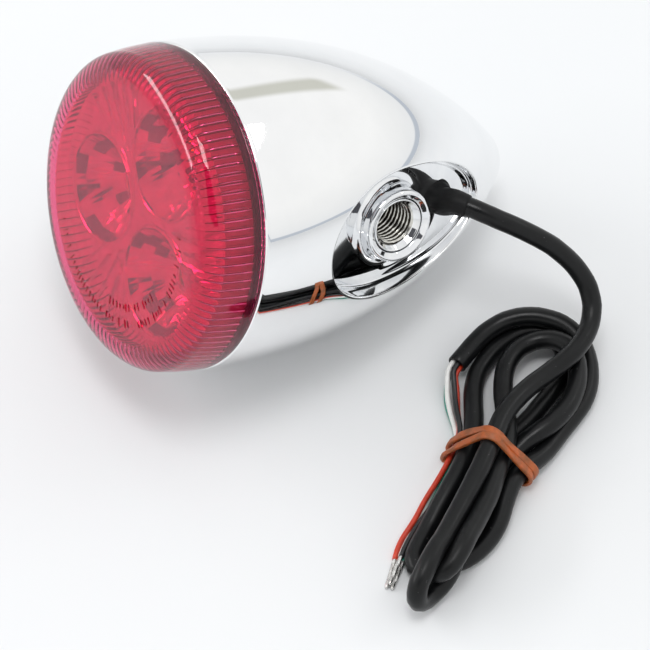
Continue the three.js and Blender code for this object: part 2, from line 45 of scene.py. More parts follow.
# The cable's and the wires' centre lines: a first point (x, y, z) and then the steps from point to point, three
# numbers each, in tenths of a millimetre in the frame of the CAD part. The cable runs from the strain relief to
# its cut end, and the wires from there to their tips.
ROUTE_UNITS_PER_MM = 10
CABLE_ROUTE = (269, -207, 339), [
    10,-15,9, 10,-16,4, 12,-17,0, 12,-15,-2, 12,-15,-4, 14,-14,-6, 13,-13,-7, 14,-12,-7, 14,-12,-8, 14,-11,-9,
    14,-11,-10, 14,-10,-11, 13,-10,-11, 13,-9,-12, 11,-10,-13, 11,-10,-14, 10,-9,-14, 9,-11,-15, 7,-11,-15,
    5,-13,-14, 3,-13,-15, -2,-15,-14, -4,-15,-12, -9,-14,-10, -12,-15,-8, -14,-13,-5, -16,-12,-2, -17,-10,-2,
    -18,-9,-1, -18,-7,-2, -20,-5,-2, -19,-5,-2, -20,-3,-1, -19,-4,-1, -20,-4,0, -19,-4,1, -20,-6,1, -19,-6,1,
    -18,-8,2, -18,-8,2, -18,-10,1, -16,-10,2, -17,-12,1, -15,-13,0, -16,-12,0, -15,-13,0, -15,-13,0, -16,-12,0,
    -16,-13,-1, -16,-12,-1, -16,-11,-2, -16,-12,-2, -17,-12,-1, -16,-11,-1, -16,-12,0, -16,-11,0, -17,-12,1,
    -16,-12,1, -16,-11,2, -16,-12,3, -17,-10,3, -16,-11,3, -17,-12,1, -16,-11,-1, -16,-11,-6, -15,-9,-9,
    -9,-8,-16, -3,-4,-19, 6,0,-19, 14,4,-13, 17,7,-8, 19,6,0, 19,5,4, 16,5,10, 15,7,11, 14,11,9, 14,14,4,
    15,13,-1, 15,13,-2, 16,12,-3, 15,13,-3, 16,12,-3, 16,12,-2, 16,12,-3, 15,12,-2, 16,12,-3, 16,12,-3,
    16,12,-3, 16,11,-2, 17,10,-3, 18,8,-1, 19,7,0, 19,7,3, 18,5,5, 19,4,7, 19,1,6, 19,1,6, 20,1,3, 19,4,2,
    19,6,1, 18,8,0, 18,10,0, 16,12,0, 15,13,-1, 14,14,0, 12,16,1, 11,17,0, 9,18,1, 5,19,1, 2,20,0, -5,19,0,
    -9,18,-2, -14,14,-3, -17,10,-3, -19,5,-3, -20,1,-2, -19,-4,0, -18,-8,-1, -17,-11,0, -15,-13,0, -13,-15,0,
    -12,-16,1, -11,-17,0, -10,-17,1, -9,-18,2, -9,-18,2, -8,-18,2, -9,-17,3, -10,-17,4, -11,-17,3, -12,-15,3,
    -13,-15,2, -14,-14,2, -15,-14,1, -14,-14,1, -15,-13,2, -14,-14,2, -14,-14,2, -15,-14,2, -15,-13,2,
    -16,-12,3, -15,-12,2, -16,-12,3, -16,-12,3, -16,-11,3, -16,-12,3, -16,-12,1, -17,-10,-3, -17,-9,-5,
    -18,-5,-8, -17,2,-10, -10,14,-9, 5,19,-5, 12,16,-2, 14,13,-4, 15,12,-8, 15,10,-7, 16,10,-6, 17,10,-5,
    16,12,-4, 16,11,-3, 15,13,-2, 16,12,-2, 15,13,-1, 15,13,-1, 15,13,-1, 15,13,0, 16,12,0, 17,11,0, 18,9,0,
    18,9,0, 19,6,0, 19,6,0, 19,6,0, 20,5,0, 19,6,0, 19,6,0, 18,7,0, 19,8,0, 18,9,1, 18,8,0, 18,9,1, 18,9,0,
    17,10,1, 17,11,0, 15,13,-1, 14,15,0, 10,17,-1, 8,18,-1, 3,20,0, -2,20,0, -7,18,0, -12,16,1, -17,11,0,
    -19,5,0, -20,2,-1, -20,-2,0, -19,-4,0, -20,-6,0, -18,-7,0, -18,-9,0, -18,-10,0, -16,-11,1, -15,-14,1,
    -13,-14,1, -12,-16,1, -11,-17,2, -10,-17,2, -10,-17,3, -10,-17,3, -11,-17,3, -11,-17,3, -12,-15,3,
    -13,-15,3, -14,-14,2, -15,-13,2, -16,-13,2, -15,-12,0, -16,-12,-1, -17,-11,-1, -17,-11,-3, -16,-10,-4,
    -17,-10,-5, -16,-10,-5, -16,-11,-5, -17,-10,-5, -16,-11,-2, -17,-11,-1, -16,-12,0, -15,-14,0, -10,-17,0,
    3,-18,0, 16,-12,0, 20,-5,0, 20,-2,0, 19,-2,0, 20,-2,0, 20,1,0, 20,3,1, 19,6,1, 19,8,1, 17,9,2, 16,11,2,
    16,13,3, 14,14,3, 14,13,4, 15,13,3, 16,13,3, 16,10,0, 18,9,-2, 19,7,-3, 18,6,-4, 19,5,-5, 18,7,-4, 19,8,-3,
    18,9,-1, 17,9,-1, 18,9,0, 18,9,0, 18,8,0, 18,9,1, 18,9,0, 17,10,1, 16,12,1, 15,14,1, 13,15,2, 11,16,2,
    10,18,3, 7,18,3, 5,18,5, 2,20,6, -1,19,6, -5,18,5, -9,18,5, -11,16,3, -13,14,1, -15,14,1, -17,11,0,
    -17,10,-2, -19,7,-3, -19,5,-3, -19,1,-4, -20,-1,-3, -19,-3,-3, -19,-6,-3, -19,-7,-2, -18,-8,-2, -18,-8,0,
    -19,-9,-1,
]
WIRE_ROUTES = {
    "white": ((183, -418, 47), [
        -26,-15,-3, -16,-23,-12, -15,-25,-9, -12,-28,-4, -10,-29,0, -9,-29,-1, -13,-28,-1, -22,-20,-4,
        -25,-18,-5, -25,-18,-1, -25,-18,0, -25,-18,0, -24,-18,0, -24,-20,0, -24,-18,0, -25,-17,0, -25,-18,0,
        -24,-20,0,
    ]),
    "green": ((186, -423, 34), [
        -26,-13,-3, -19,-19,-13, -15,-23,-9, -12,-27,-2, -8,-29,0, -7,-28,0, -9,-28,0, -17,-25,0, -21,-20,0,
        -24,-17,0, -24,-18,0, -24,-17,0, -23,-18,0, -23,-18,0, -23,-19,0, -25,-16,0, -25,-15,0, -24,-18,0,
        -22,-19,0,
    ]),
    "red": ((191, -435, 40), [
        -25,-15,-3, -12,-26,-12, -14,-26,-7, -16,-27,1, -13,-27,4, -15,-26,5, -21,-23,-1, -23,-19,-4,
        -25,-18,-3, -25,-17,-1, -26,-17,0, -26,-16,0, -26,-17,-1, -25,-18,-1, -26,-16,-2, -27,-14,-6,
        -24,-18,-2, -21,-22,0,
    ]),
    "black": ((188, -430, 52), [
        -24,-14,-2, -13,-24,-11, -13,-25,-7, -13,-26,-1, -12,-26,4, -11,-27,4, -14,-26,1, -15,-23,-8,
        -20,-19,-9, -22,-18,-4, -24,-18,-1, -23,-17,0, -24,-17,1, -25,-15,0, -26,-13,-1, -26,-14,-1, -24,-16,1,
        -24,-17,0, -22,-19,1,
    ]),
}


# ---------- frames of the CAD part, in millimetres
RIM = np.array([-30.4617, 0.0, 44.2948])  # centre of the housing's rim
AXIS = np.array([0.93969262, 0.0, -0.34202014])  # from the rim to the nose
LEVEL = np.array([0.0, 1.0, 0.0])  # the light's own Y
RAISED = np.array([0.34202014, 0.0, 0.93969262])  # the light's own Z
OUT = np.array([0.11978, -0.93667, 0.32909])  # straight out of the threaded hole
SIDE = np.cross(OUT, AXIS)
SIDE /= np.linalg.norm(SIDE)


def mount(x, s, h):
    """Points in the mount's frame (along the axis, sideways, outwards) to the part's frame."""
    x, s, h = (np.asarray(v, float)[..., None] for v in (x, s, h))
    return RIM + x * AXIS + s * SIDE + h * OUT


def swing(x, r, angle, first, second, centre=(0.0, 0.0)):
    """Points at radius r about a line along the axis through centre, the angle running from first towards second."""
    x, r, angle = np.broadcast_arrays(*(np.asarray(v, float) for v in (x, r, angle)))
    a, b = centre
    p, q = a + r * np.cos(angle), b + r * np.sin(angle)
    return RIM + x[..., None] * AXIS + p[..., None] * first + q[..., None] * second


def turn(x, r, angle):
    """Points about the light's axis: angle from the light's Y towards its Z."""
    return swing(x, r, angle, LEVEL, RAISED)


def turn_from_mount(x, r, angle):
    """Points about the light's axis: angle from the threaded hole's side of the housing."""
    return swing(x, r, angle, OUT, SIDE)


# ---------- camera
CAMERA_FOCAL_MM = 164.2
CAMERA_SENSOR_MM = 36
CAMERA_PLACE = (-210.95, -383.7, 541.3)  # in millimetres
CAMERA_RIGHT = (0.8685, -0.4958, 0.0)
CAMERA_BACK = (-0.3059, -0.5358, 0.7870)


def link(name, data):
    obj = bpy.data.objects.new(name, data)
    bpy.context.collection.objects.link(obj)
    return obj


def make_camera():
    data = bpy.data.cameras.new("camera")
    data.lens = CAMERA_FOCAL_MM
    data.sensor_width = CAMERA_SENSOR_MM
    data.clip_start = 0.01
    data.clip_end = 50
    cam = link("camera", data)
    right = Vector(CAMERA_RIGHT).normalized()
    back = Vector(CAMERA_BACK).normalized()
    m = Matrix((right, back.cross(right), back)).transposed().to_4x4()
    m.translation = Vector(CAMERA_PLACE) * MM
    cam.matrix_world = m
    bpy.context.scene.camera = cam


make_camera()


# ---------- mesh helpers
def face_outward(obj, weld=None):
    """Turns the faces so that a closed mesh faces out; weld merges points closer than that, in metres."""
    bm = bmesh.new()
    bm.from_mesh(obj.data)
    if weld:
        bmesh.ops.remove_doubles(bm, verts=bm.verts, dist=weld)
    bmesh.ops.recalc_face_normals(bm, faces=bm.faces)
    bm.to_mesh(obj.data)
    bm.free()


def add_mesh(name, points, faces, mats, face_mats=None, smooth=True):
    """An object from points in millimetres and faces; face_mats gives each face's place in mats."""
    mesh = bpy.data.meshes.new(name)
    mesh.from_pydata((np.asarray(points) * MM).tolist(), [], [list(map(int, f)) for f in faces])
    for m in mats if isinstance(mats, list) else [mats]:
        mesh.materials.append(m)
    if face_mats is not None:
        mesh.polygons.foreach_set("material_index", np.asarray(face_mats, dtype=np.int32))
    mesh.polygons.foreach_set("use_smooth", [smooth] * len(mesh.polygons))
    mesh.update()
    return link(name, mesh)


def put(obj, slot, *replaced):
    """Says what the piece rides on and which CAD nodes it stands for, and hides them. slot is not used."""
    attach(obj, "root")
    if replaced:
        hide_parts(*replaced)


def add_piece(name, shape, mats, slot, *replaced, weld=None, **options):
    """A finished piece from a shape, which is a pair of points and faces."""
    obj = add_mesh(name, *shape, mats, **options)
    face_outward(obj, weld)
    put(obj, slot, *replaced)
    return obj


def circle(count):
    return np.linspace(0, FULL_TURN, count, endpoint=False)


def length_steps(path):
    """The distance along a path at each of its points."""
    return np.r_[0, np.cumsum(np.linalg.norm(np.diff(path, axis=0), axis=1))]


def sample(path, s, at):
    """The path's points at the distances at, where s holds the distance at each point."""
    return np.stack([np.interp(at, s, path[:, k]) for k in range(path.shape[1])], 1)


def bend(a, corner, b, t):
    """A quadratic curve from a to b that is drawn towards corner."""
    return (1 - t) ** 2 * a + 2 * t * (1 - t) * corner + t * t * b


def strip(a, b):
    """Quads between two closed rings of point numbers."""
    n = len(a)
    return [(a[j], a[(j + 1) % n], b[(j + 1) % n], b[j]) for j in range(n)]


def fan(centre, first, count, turned=False):
    """Triangles from a centre to the closed ring of count points that starts at first."""
    pairs = [(first + j, first + (j + 1) % count) for j in range(count)]
    return [(centre, b, a) if turned else (centre, a, b) for a, b in pairs]


def grid_faces(rows, cols, closed, start=0):
    """Quads over rows of cols points, numbered from start; closed joins each row's ends."""
    faces = []
    for i in range(rows - 1):
        for j in range(cols if closed else cols - 1):
            k = (j + 1) % cols
            a, d = start + i * cols, start + (i + 1) * cols
            faces.append((a + j, a + k, d + k, d + j))
    return faces


def join_parts(parts):
    """Several pairs of points and faces into one."""
    points, faces, start = [], [], 0
    for p, f in parts:
        points.append(np.asarray(p).reshape(-1, 3))
        faces += [tuple(start + i for i in q) for q in f]
        start += len(points[-1])
    return np.concatenate(points), faces


def revolve(profile, place, sides, closed=True, wave=None):
    """profile holds points (axial, radius), and place(axial, radius, angle) gives points in the part's frame.
    A closed profile joins its ends, a radius of 0 closes on the axis, and wave(k) is added to radius k."""
    angles = circle(sides)
    points, faces, rings = [], [], []
    for k, (x, r) in enumerate(profile):
        rings.append(range(len(points), len(points) + (sides if r else 1)))
        if r:
            points += list(place(np.full(sides, x), r + (wave(k) if wave else 0 * angles), angles))
        else:
            points.append(place(np.array(x), np.array(0.0), np.array(0.0)))
    for a, b in zip(rings, rings[1:] + (rings[:1] if closed else [])):
        if len(a) == len(b) == sides:
            faces += strip(a, b)
        elif len(b) == sides:
            faces += fan(a[0], b[0], sides, turned=True)
        elif len(a) == sides:
            faces += fan(b[0], a[0], sides)
    return np.array(points), faces


def rounded(points, radius, steps):
    """Rounds the corners of a closed outline in 2-D."""
    out = []
    for i, p in enumerate(points):
        p = np.array(p, float)
        a, b = np.array(points[i - 1]) - p, np.array(points[(i + 1) % len(points)]) - p
        la, lb = np.linalg.norm(a), np.linalg.norm(b)
        d = min(radius, la * 0.48, lb * 0.48)
        out += [bend(p + a / la * d, p, p + b / lb * d, t) for t in np.linspace(0, 1, steps + 1)]
    return out


def spline(points, step):
    """A centripetal Catmull-Rom curve through the points, resampled evenly."""
    P = np.asarray(points, float)
    Q = np.vstack([2 * P[0] - P[1], P, 2 * P[-1] - P[-2]])
    out = []
    for i in range(1, len(Q) - 2):
        p0, p1, p2, p3 = Q[i - 1:i + 3]
        d = [max(np.dot(v, v) ** 0.25, 1e-4) for v in (p1 - p0, p2 - p1, p3 - p2)]
        t1 = ((p1 - p0) / d[0] - (p2 - p0) / (d[0] + d[1]) + (p2 - p1) / d[1]) * d[1]
        t2 = ((p2 - p1) / d[1] - (p3 - p1) / (d[1] + d[2]) + (p3 - p2) / d[2]) * d[1]
        for t in np.linspace(0, 1, 8, endpoint=False):
            out.append((2 * t**3 - 3 * t**2 + 1) * p1 + (t**3 - 2 * t**2 + t) * t1
                       + (3 * t**2 - 2 * t**3) * p2 + (t**3 - t**2) * t2)
    out = np.array(out + [P[-1]])
    s = length_steps(out)
    return sample(out, s, np.linspace(0, s[-1], int(round(s[-1] / step)) + 1))


def frames_along(path):
    """Tangents and two turning-free side vectors."""
    t = np.gradient(path, axis=0)
    t /= np.linalg.norm(t, axis=1, keepdims=True)
    u = np.cross(t[0], [0.0, 0.0, 1.0])
    u /= np.linalg.norm(u)
    us = []
    for k in t:
        u = u - np.dot(u, k) * k
        u /= np.linalg.norm(u)
        us.append(u)
    us = np.array(us)
    return t, us, np.cross(t, us)


def hoop(centre, radius, u, v, ang):
    return centre + (radius * np.cos(ang))[:, None] * u + (radius * np.sin(ang))[:, None] * v


def tube(path, radius, sides, end_caps=True, shape=None):
    """A tube about path, with one radius, or one for each point; shape(i, angles) scales it."""
    _, u, v = frames_along(path)
    n = len(path)
    ang = circle(sides)
    radius = np.broadcast_to(radius, n)
    pts = [hoop(path[i], radius[i] * (shape(i, ang) if shape else 1.0), u[i], v[i], ang) for i in range(n)]
    pts = np.concatenate(pts)
    faces = grid_faces(n, sides, True)
    if end_caps:
        faces += fan(len(pts), 0, sides, turned=True) + fan(len(pts) + 1, (n - 1) * sides, sides)
        pts = np.vstack([pts, path[0], path[-1]])
    return pts, faces


# ---------- materials
def feed(nt, node, inputs):
    """Sets a node's inputs; inputs maps a socket's name or number to a value or to the output that feeds it."""
    for key, v in inputs.items():
        if isinstance(v, bpy.types.NodeSocket):
            nt.links.new(v, node.inputs[key])
        else:
            node.inputs[key].default_value = v


def add_node(nt, kind, output, inputs, **settings):
    n = nt.nodes.new("ShaderNode" + kind)
    for key, v in settings.items():
        setattr(n, key, v)
    feed(nt, n, inputs)
    return n.outputs[output]


def new_material(name):
    m = bpy.data.materials.new(name)
    m.use_nodes = True
    nt = m.node_tree
    return m, nt, nt.nodes["Principled BSDF"], add_node(nt, "TexCoord", "Object", {})


def noise(nt, coords, scale, detail=3.0, rough=0.55):
    return add_node(nt, "TexNoise", "Fac", {"Vector": coords, "Scale": scale, "Detail": detail, "Roughness": rough})


def ramp(nt, fac, stops):
    r = nt.nodes.new("ShaderNodeValToRGB")
    els = r.color_ramp.elements
    while len(els) < len(stops):
        els.new(0.5)
    for e, (place, colour) in zip(els, stops):
        e.position = place
        e.color = (*colour, 1)
    feed(nt, r, {"Fac": fac})
    return r.outputs["Color"]


def remap(nt, value, lo, hi, a=0.3, b=0.7, kind="LINEAR"):
    """Brings a value from between a and b to between lo and hi."""
    limits = {"From Min": a, "From Max": b, "To Min": lo, "To Max": hi}
    return add_node(nt, "MapRange", "Result", {"Value": value, **limits}, interpolation_type=kind)


def mix_in(nt, fac, under, colour, kind="MIX"):
    """Mixes a fixed colour into the colour under it, as far as fac says."""
    return add_node(nt, "Mix", 2, {"Factor": fac, 6: under, 7: (*colour, 1)}, data_type="RGBA", blend_type=kind)


def bump(nt, height, strength, distance):
    return add_node(nt, "Bump", "Normal", {"Height": height, "Strength": strength, "Distance": distance})


def surface(name, dark, light, rough, scale, metal=0.0, bumps=(0.15, 0.00005, 1500.0), speck=None, **fixed):
    """A mottled material: two colours and two roughnesses mixed by noise, fine bumps (strength, depth in metres,
    scale), specks (scale, colour, threshold) where given, and fixed values for other sockets."""
    m, nt, b, co = new_material(name)
    col = ramp(nt, noise(nt, co, scale), [(0.32, dark), (0.68, light)])
    if speck:
        size, colour, low = speck
        col = mix_in(nt, remap(nt, noise(nt, co, size, 2.0, 0.5), 0.0, 1.0, low, low + 0.03), col, colour)
    strength, depth, bump_scale = bumps
    feed(nt, b, {
        "Base Color": col, "Roughness": remap(nt, noise(nt, co, scale * 0.37), *rough), "Metallic": metal,
        "Normal": bump(nt, noise(nt, co, bump_scale), strength, depth),
        **{k.replace("_", " "): v for k, v in fixed.items()},
    })
    return m


def glass(name, tint, rough, scale=300.0, ior=1.49, transmission=1.0):
    """A clear tinted material with slightly uneven tint, gloss and surface."""
    m, nt, b, co = new_material(name)
    n1 = noise(nt, co, scale)
    feed(nt, b, {
        "Base Color": ramp(nt, n1, [(0.3, tuple(c * 0.97 for c in tint)), (0.7, tint)]),
        "Roughness": remap(nt, n1, *rough), "IOR": ior, "Transmission Weight": transmission,
        "Normal": bump(nt, noise(nt, co, 60.0, 1.0), 0.05, 0.0002),
    })
    return m


METAL = 1.0
PLASTIC = 0.0
CHROME = surface("chrome_plate", (0.885, 0.89, 0.895), (0.92, 0.925, 0.93), (0.012, 0.03), 90.0, METAL,
                 (0.03, 0.00002, 140.0))
CHROME_POCKET = surface("chrome_recess", (0.78, 0.79, 0.81), (0.86, 0.87, 0.88), (0.02, 0.06), 200.0, METAL,
                        (0.10, 0.00005, 260.0))
INNER_METAL = surface("housing_inside", (0.30, 0.31, 0.32), (0.42, 0.43, 0.44), (0.3, 0.5), 300.0, METAL)
# The thread is one steel painted in two copies: the valleys dark, a painted shade for the dark inside of the hole
# that they mirror, and the crests bright, a painted highlight.
THREAD_PAINTED_SHADE = surface("insert_thread_steel_painted_shade", (0.020, 0.018, 0.015), (0.055, 0.05, 0.042), (0.25, 0.4), 700.0, METAL,
                (0.2, 0.00003, 3000.0))
CREST_PAINTED_HIGHLIGHT = surface("insert_thread_crest_painted_highlight", (0.50, 0.49, 0.45), (0.70, 0.69, 0.65), (0.12, 0.25), 700.0, METAL,
                (0.1, 0.00003, 3000.0))
CHAMFER = surface("insert_chamfer_chrome", (0.74, 0.75, 0.76), (0.84, 0.85, 0.86), (0.04, 0.10), 400.0, METAL,
                  (0.08, 0.00003, 900.0))
LENS = glass("lens_red", (0.88, 0.075, 0.23), (0.012, 0.03), transmission=0.97)
# Painted shade for the lens's deeper flutes: an opaque dark red strip in each groove, where refracted light shows
# dark.
LENS_GROOVE_PAINTED_SHADE = surface("lens_groove_painted_shade", (0.15, 0.006, 0.018), (0.24, 0.010, 0.03), (0.4, 0.6), 600.0,
                      Specular_IOR_Level=0.2)
LENS_MARK = glass("lens_marks", (0.80, 0.10, 0.16), (0.15, 0.25))
MOULDED = (0.15, 0.0001, 300.0)  # the slight unevenness of the moulded reflector
# Darker metal for some reflector facets: a painted dark reflection.
MIRROR_PAINTED_DARK = surface("reflector_painted_dark_reflection", (0.22, 0.22, 0.23), (0.36, 0.36, 0.37), (0.08, 0.2), 250.0, METAL, MOULDED)
SKIRT = surface("reflector_satin", (0.80, 0.78, 0.78), (0.9, 0.88, 0.88), (0.45, 0.6), 250.0, PLASTIC, MOULDED)
MIRROR = surface("reflector_mirror", (0.72, 0.72, 0.74), (0.92, 0.92, 0.93), (0.05, 0.14), 250.0, METAL, MOULDED)
RUBBER = surface("grommet_rubber", (0.003, 0.003, 0.0032), (0.006, 0.006, 0.0065), (0.42, 0.55), 900.0, PLASTIC,
                 (0.25, 0.00006, 2500.0), Specular_IOR_Level=0.2)
GASKET = surface("gasket_rubber", (0.010, 0.010, 0.011), (0.025, 0.025, 0.027), (0.5, 0.7), 900.0, PLASTIC,
                 (0.3, 0.00006, 2500.0))
SHEATH = surface("cable_sheath_pvc", (0.003, 0.0033, 0.0037), (0.0055, 0.006, 0.0065), (0.27, 0.40), 260.0, PLASTIC,
                 (0.22, 0.00005, 1900.0), speck=(1300.0, (0.05, 0.05, 0.052), 0.735), Specular_IOR_Level=0.26)
BAND = surface("band_rubber", (0.21, 0.062, 0.014), (0.44, 0.095, 0.017), (0.38, 0.55), 420.0, PLASTIC,
               (0.3, 0.00008, 1200.0), Subsurface_Weight=0.12, Subsurface_Scale=0.001)
TINNED = surface("tinned_strands", (0.55, 0.54, 0.52), (0.82, 0.81, 0.79), (0.18, 0.35), 1200.0, METAL,
                 (0.3, 0.00004, 3000.0))
WIRES = {
    colour: surface("wire_%s_pvc" % colour, dark, light, (0.32, 0.45), 500.0)
    for colour, dark, light in (
        ("white", (0.74, 0.74, 0.72), (0.84, 0.84, 0.82)),
        ("black", (0.008, 0.008, 0.009), (0.02, 0.02, 0.022)),
        ("red", (0.46, 0.032, 0.012), (0.62, 0.052, 0.020)),
        ("green", (0.012, 0.22, 0.16), (0.02, 0.32, 0.24)),
    )
}
WHITE_BOARD = surface("board_white_lacquer", (0.70, 0.70, 0.67), (0.80, 0.80, 0.77), (0.35, 0.5), 350.0)
GREEN_BOARD = surface("board_green_lacquer", (0.012, 0.09, 0.035), (0.02, 0.13, 0.055), (0.3, 0.45), 350.0)
ALUMINIUM = surface("spreader_aluminium", (0.52, 0.53, 0.54), (0.66, 0.67, 0.68), (0.3, 0.45), 500.0, METAL)
SCREW = surface("screw_zinc", (0.48, 0.48, 0.47), (0.66, 0.66, 0.65), (0.25, 0.4), 900.0, METAL)
CERAMIC = surface("resistor_ceramic", (0.50, 0.40, 0.26), (0.62, 0.52, 0.36), (0.5, 0.7), 900.0)
BLACK_PLASTIC = surface("black_moulded_plastic", (0.010, 0.010, 0.011), (0.022, 0.022, 0.024), (0.4, 0.55), 700.0)
LED_BODY = surface("led_body_white", (0.78, 0.76, 0.68), (0.88, 0.86, 0.80), (0.4, 0.5), 1500.0)
# The dies glow although the lamp is off: a painted glow that stands in for orange glints.
AMBER_PAINTED_GLOW = surface("led_die_amber", (0.85, 0.30, 0.03), (1.0, 0.50, 0.06), (0.3, 0.4), 2500.0,
                Emission_Color=(1.0, 0.62, 0.02, 1), Emission_Strength=2.2)
SILICONE = glass("led_silicone", (0.98, 0.80, 0.45), (0.03, 0.08), 1500.0, 1.41)

# the hidden CAD nodes that stay as they are, and their materials
KEPT = {
    "led_board": WHITE_BOARD, "heat_spreader": ALUMINIUM, "driver_board": GREEN_BOARD, "cable_inner": SHEATH,
    **dict.fromkeys(["cable_tie", "board_spacer_1", "board_spacer_2", "polarity_diode", "smoothing_capacitor"],
                    BLACK_PLASTIC),
    **dict.fromkeys(["ballast_resistor_1", "ballast_resistor_2"], CERAMIC),
    **{"lead_" + colour: m for colour, m in WIRES.items()},
    **{"board_screw_%d" % i: SCREW for i in (1, 2, 3)},
    **{"led_package_%d" % i: LED_BODY for i in (1, 2, 3)},
}
for name, m in KEPT.items():
    data = nodes[name].data
    if not data.materials:
        data.materials.append(m)
    for i in range(len(data.materials)):
        data.materials[i] = m


# ---------- cable, wires and tips
CABLE_RADIUS = 2.25
CABLE_SIDES = 24
CUT_END = [(0.12, 2.16), (0.16, 1.95), (0.1, 1.75), (-1.6, 1.65)]  # (distance past the end, radius)
WIRE_RADIUS = 0.62
TIP_RADIUS = 0.45
TIP_POINTS = 26


def route_path(route, step):
    first, steps = route
    points = np.cumsum(np.vstack([first, np.reshape(steps, (-1, 3))]), axis=0)
    return spline(points / ROUTE_UNITS_PER_MM, step)


def put_cord(obj, slot, node_names):
    put(obj, slot, *node_names)


def make_cable():
    path = route_path(CABLE_ROUTE, 1.5)
    t, u, v = frames_along(path)
    pts, faces = tube(path, CABLE_RADIUS, CABLE_SIDES, end_caps=False)
    # the cut end: a slightly rounded edge, the sheath's thickness, and a short bore that the wires leave
    ang = circle(CABLE_SIDES)
    start = len(pts) - CABLE_SIDES
    for along, r in CUT_END:
        pts = np.vstack([pts, hoop(path[-1] + t[-1] * along, r, u[-1], v[-1], ang)])
    faces += grid_faces(len(CUT_END) + 1, CABLE_SIDES, True, start)
    centre = len(pts)
    pts = np.vstack([pts, path[-1] + CUT_END[-1][0] * t[-1], path[0]])
    faces += fan(centre, centre - CABLE_SIDES, CABLE_SIDES) + fan(centre + 1, 0, CABLE_SIDES, turned=True)
    cable = add_mesh("cable_sheath", pts, faces, SHEATH)
    face_outward(cable)
    return cable, path


def make_wire(colour, route):
    path = route_path(route, 1.2)
    wire = add_mesh("core_" + colour, *tube(path, WIRE_RADIUS, 12), WIRES[colour])
    face_outward(wire)
    # the tip goes on from the wire, almost level, in seven twisted strands
    t = path[-1] - path[-4]
    t[2] *= 0.2
    t /= np.linalg.norm(t)
    tip_path = np.array([path[-1] + t * d for d in np.linspace(-0.4, 7.6, TIP_POINTS)])
    tip_path[:, 2] += np.linspace(0, -0.12, TIP_POINTS)
    radii = np.full(TIP_POINTS, TIP_RADIUS)
    radii[-3:] = [0.44, 0.38, 0.22]
    shape = tube(tip_path, radii, 28, shape=lambda i, ang: 1 + 0.10 * np.cos(7 * ang + i * 0.55))
    tip = add_piece("core_tip_" + colour, shape, TINNED, "tinned_wire", "wire_tip_" + colour)
    put_cord(wire, "wire_" + colour, ["wire_" + colour])
    return path


cable, cable_path = make_cable()
wire_paths = [make_wire(colour, route) for colour, route in WIRE_ROUTES.items()]
put_cord(cable, "cable_sheath", ["cable", "cable_hank"])


# ---------- rubber band
HANK = np.array([11.3, -70.2, 0.0])  # where the band is
HANK_ANGLE = math.radians(34.7)
ALONG = np.array([math.cos(HANK_ANGLE), math.sin(HANK_ANGLE), 0.0])
ACROSS = np.array([-math.sin(HANK_ANGLE), math.cos(HANK_ANGLE), 0.0])
UP = np.array([0, 0, 1.0])
HANK_HALF_WIDTH = 18
BAND_POINTS = 200
BAND_GAP = 0.62  # from what it holds to the winding's middle
BAND_HALF_WIDTH = 0.9
BAND_HALF_THICKNESS = 0.5
BAND_FLOOR_GAP = 0.03


def crossings(offset):
    """Where the cable and the wires cross the plane at offset along the hank, as (across, height, radius)."""
    found = []
    for path, r in [(cable_path, CABLE_RADIUS)] + [(p, WIRE_RADIUS) for p in wire_paths]:
        u = (path - HANK) @ ALONG - offset
        for i in np.where(np.sign(u[:-1]) != np.sign(u[1:]))[0]:
            p = path[i] + u[i] / (u[i] - u[i + 1]) * (path[i + 1] - path[i])
            across = (p - HANK) @ ACROSS
            if abs(across) < HANK_HALF_WIDTH:
                found.append((across, p[2], r))
    return found


def loop_round(circles, pad, count):
    """The tightest loop of count points that stays pad away from the circles."""
    ang = circle(count * 4)
    cloud = [np.stack([y + (r + pad) * np.cos(ang), z + (r + pad) * np.sin(ang)], 1) for y, z, r in circles]
    cloud = np.concatenate(cloud)
    cloud[:, 1] = np.maximum(cloud[:, 1], BAND_HALF_THICKNESS)
    cloud = cloud[np.lexsort((cloud[:, 1], cloud[:, 0]))]

    def half(points):
        out = []
        for p in points:
            while len(out) > 1 and np.cross(out[-1] - out[-2], p - out[-2]) <= 0:
                out.pop()
            out.append(p)
        return out[:-1]
    loop = np.array(half(list(cloud)) + half(list(cloud[::-1])))
    loop = np.vstack([loop, loop[:1]])
    s = length_steps(loop)
    return sample(loop, s, np.linspace(0, s[-1], count, endpoint=False))


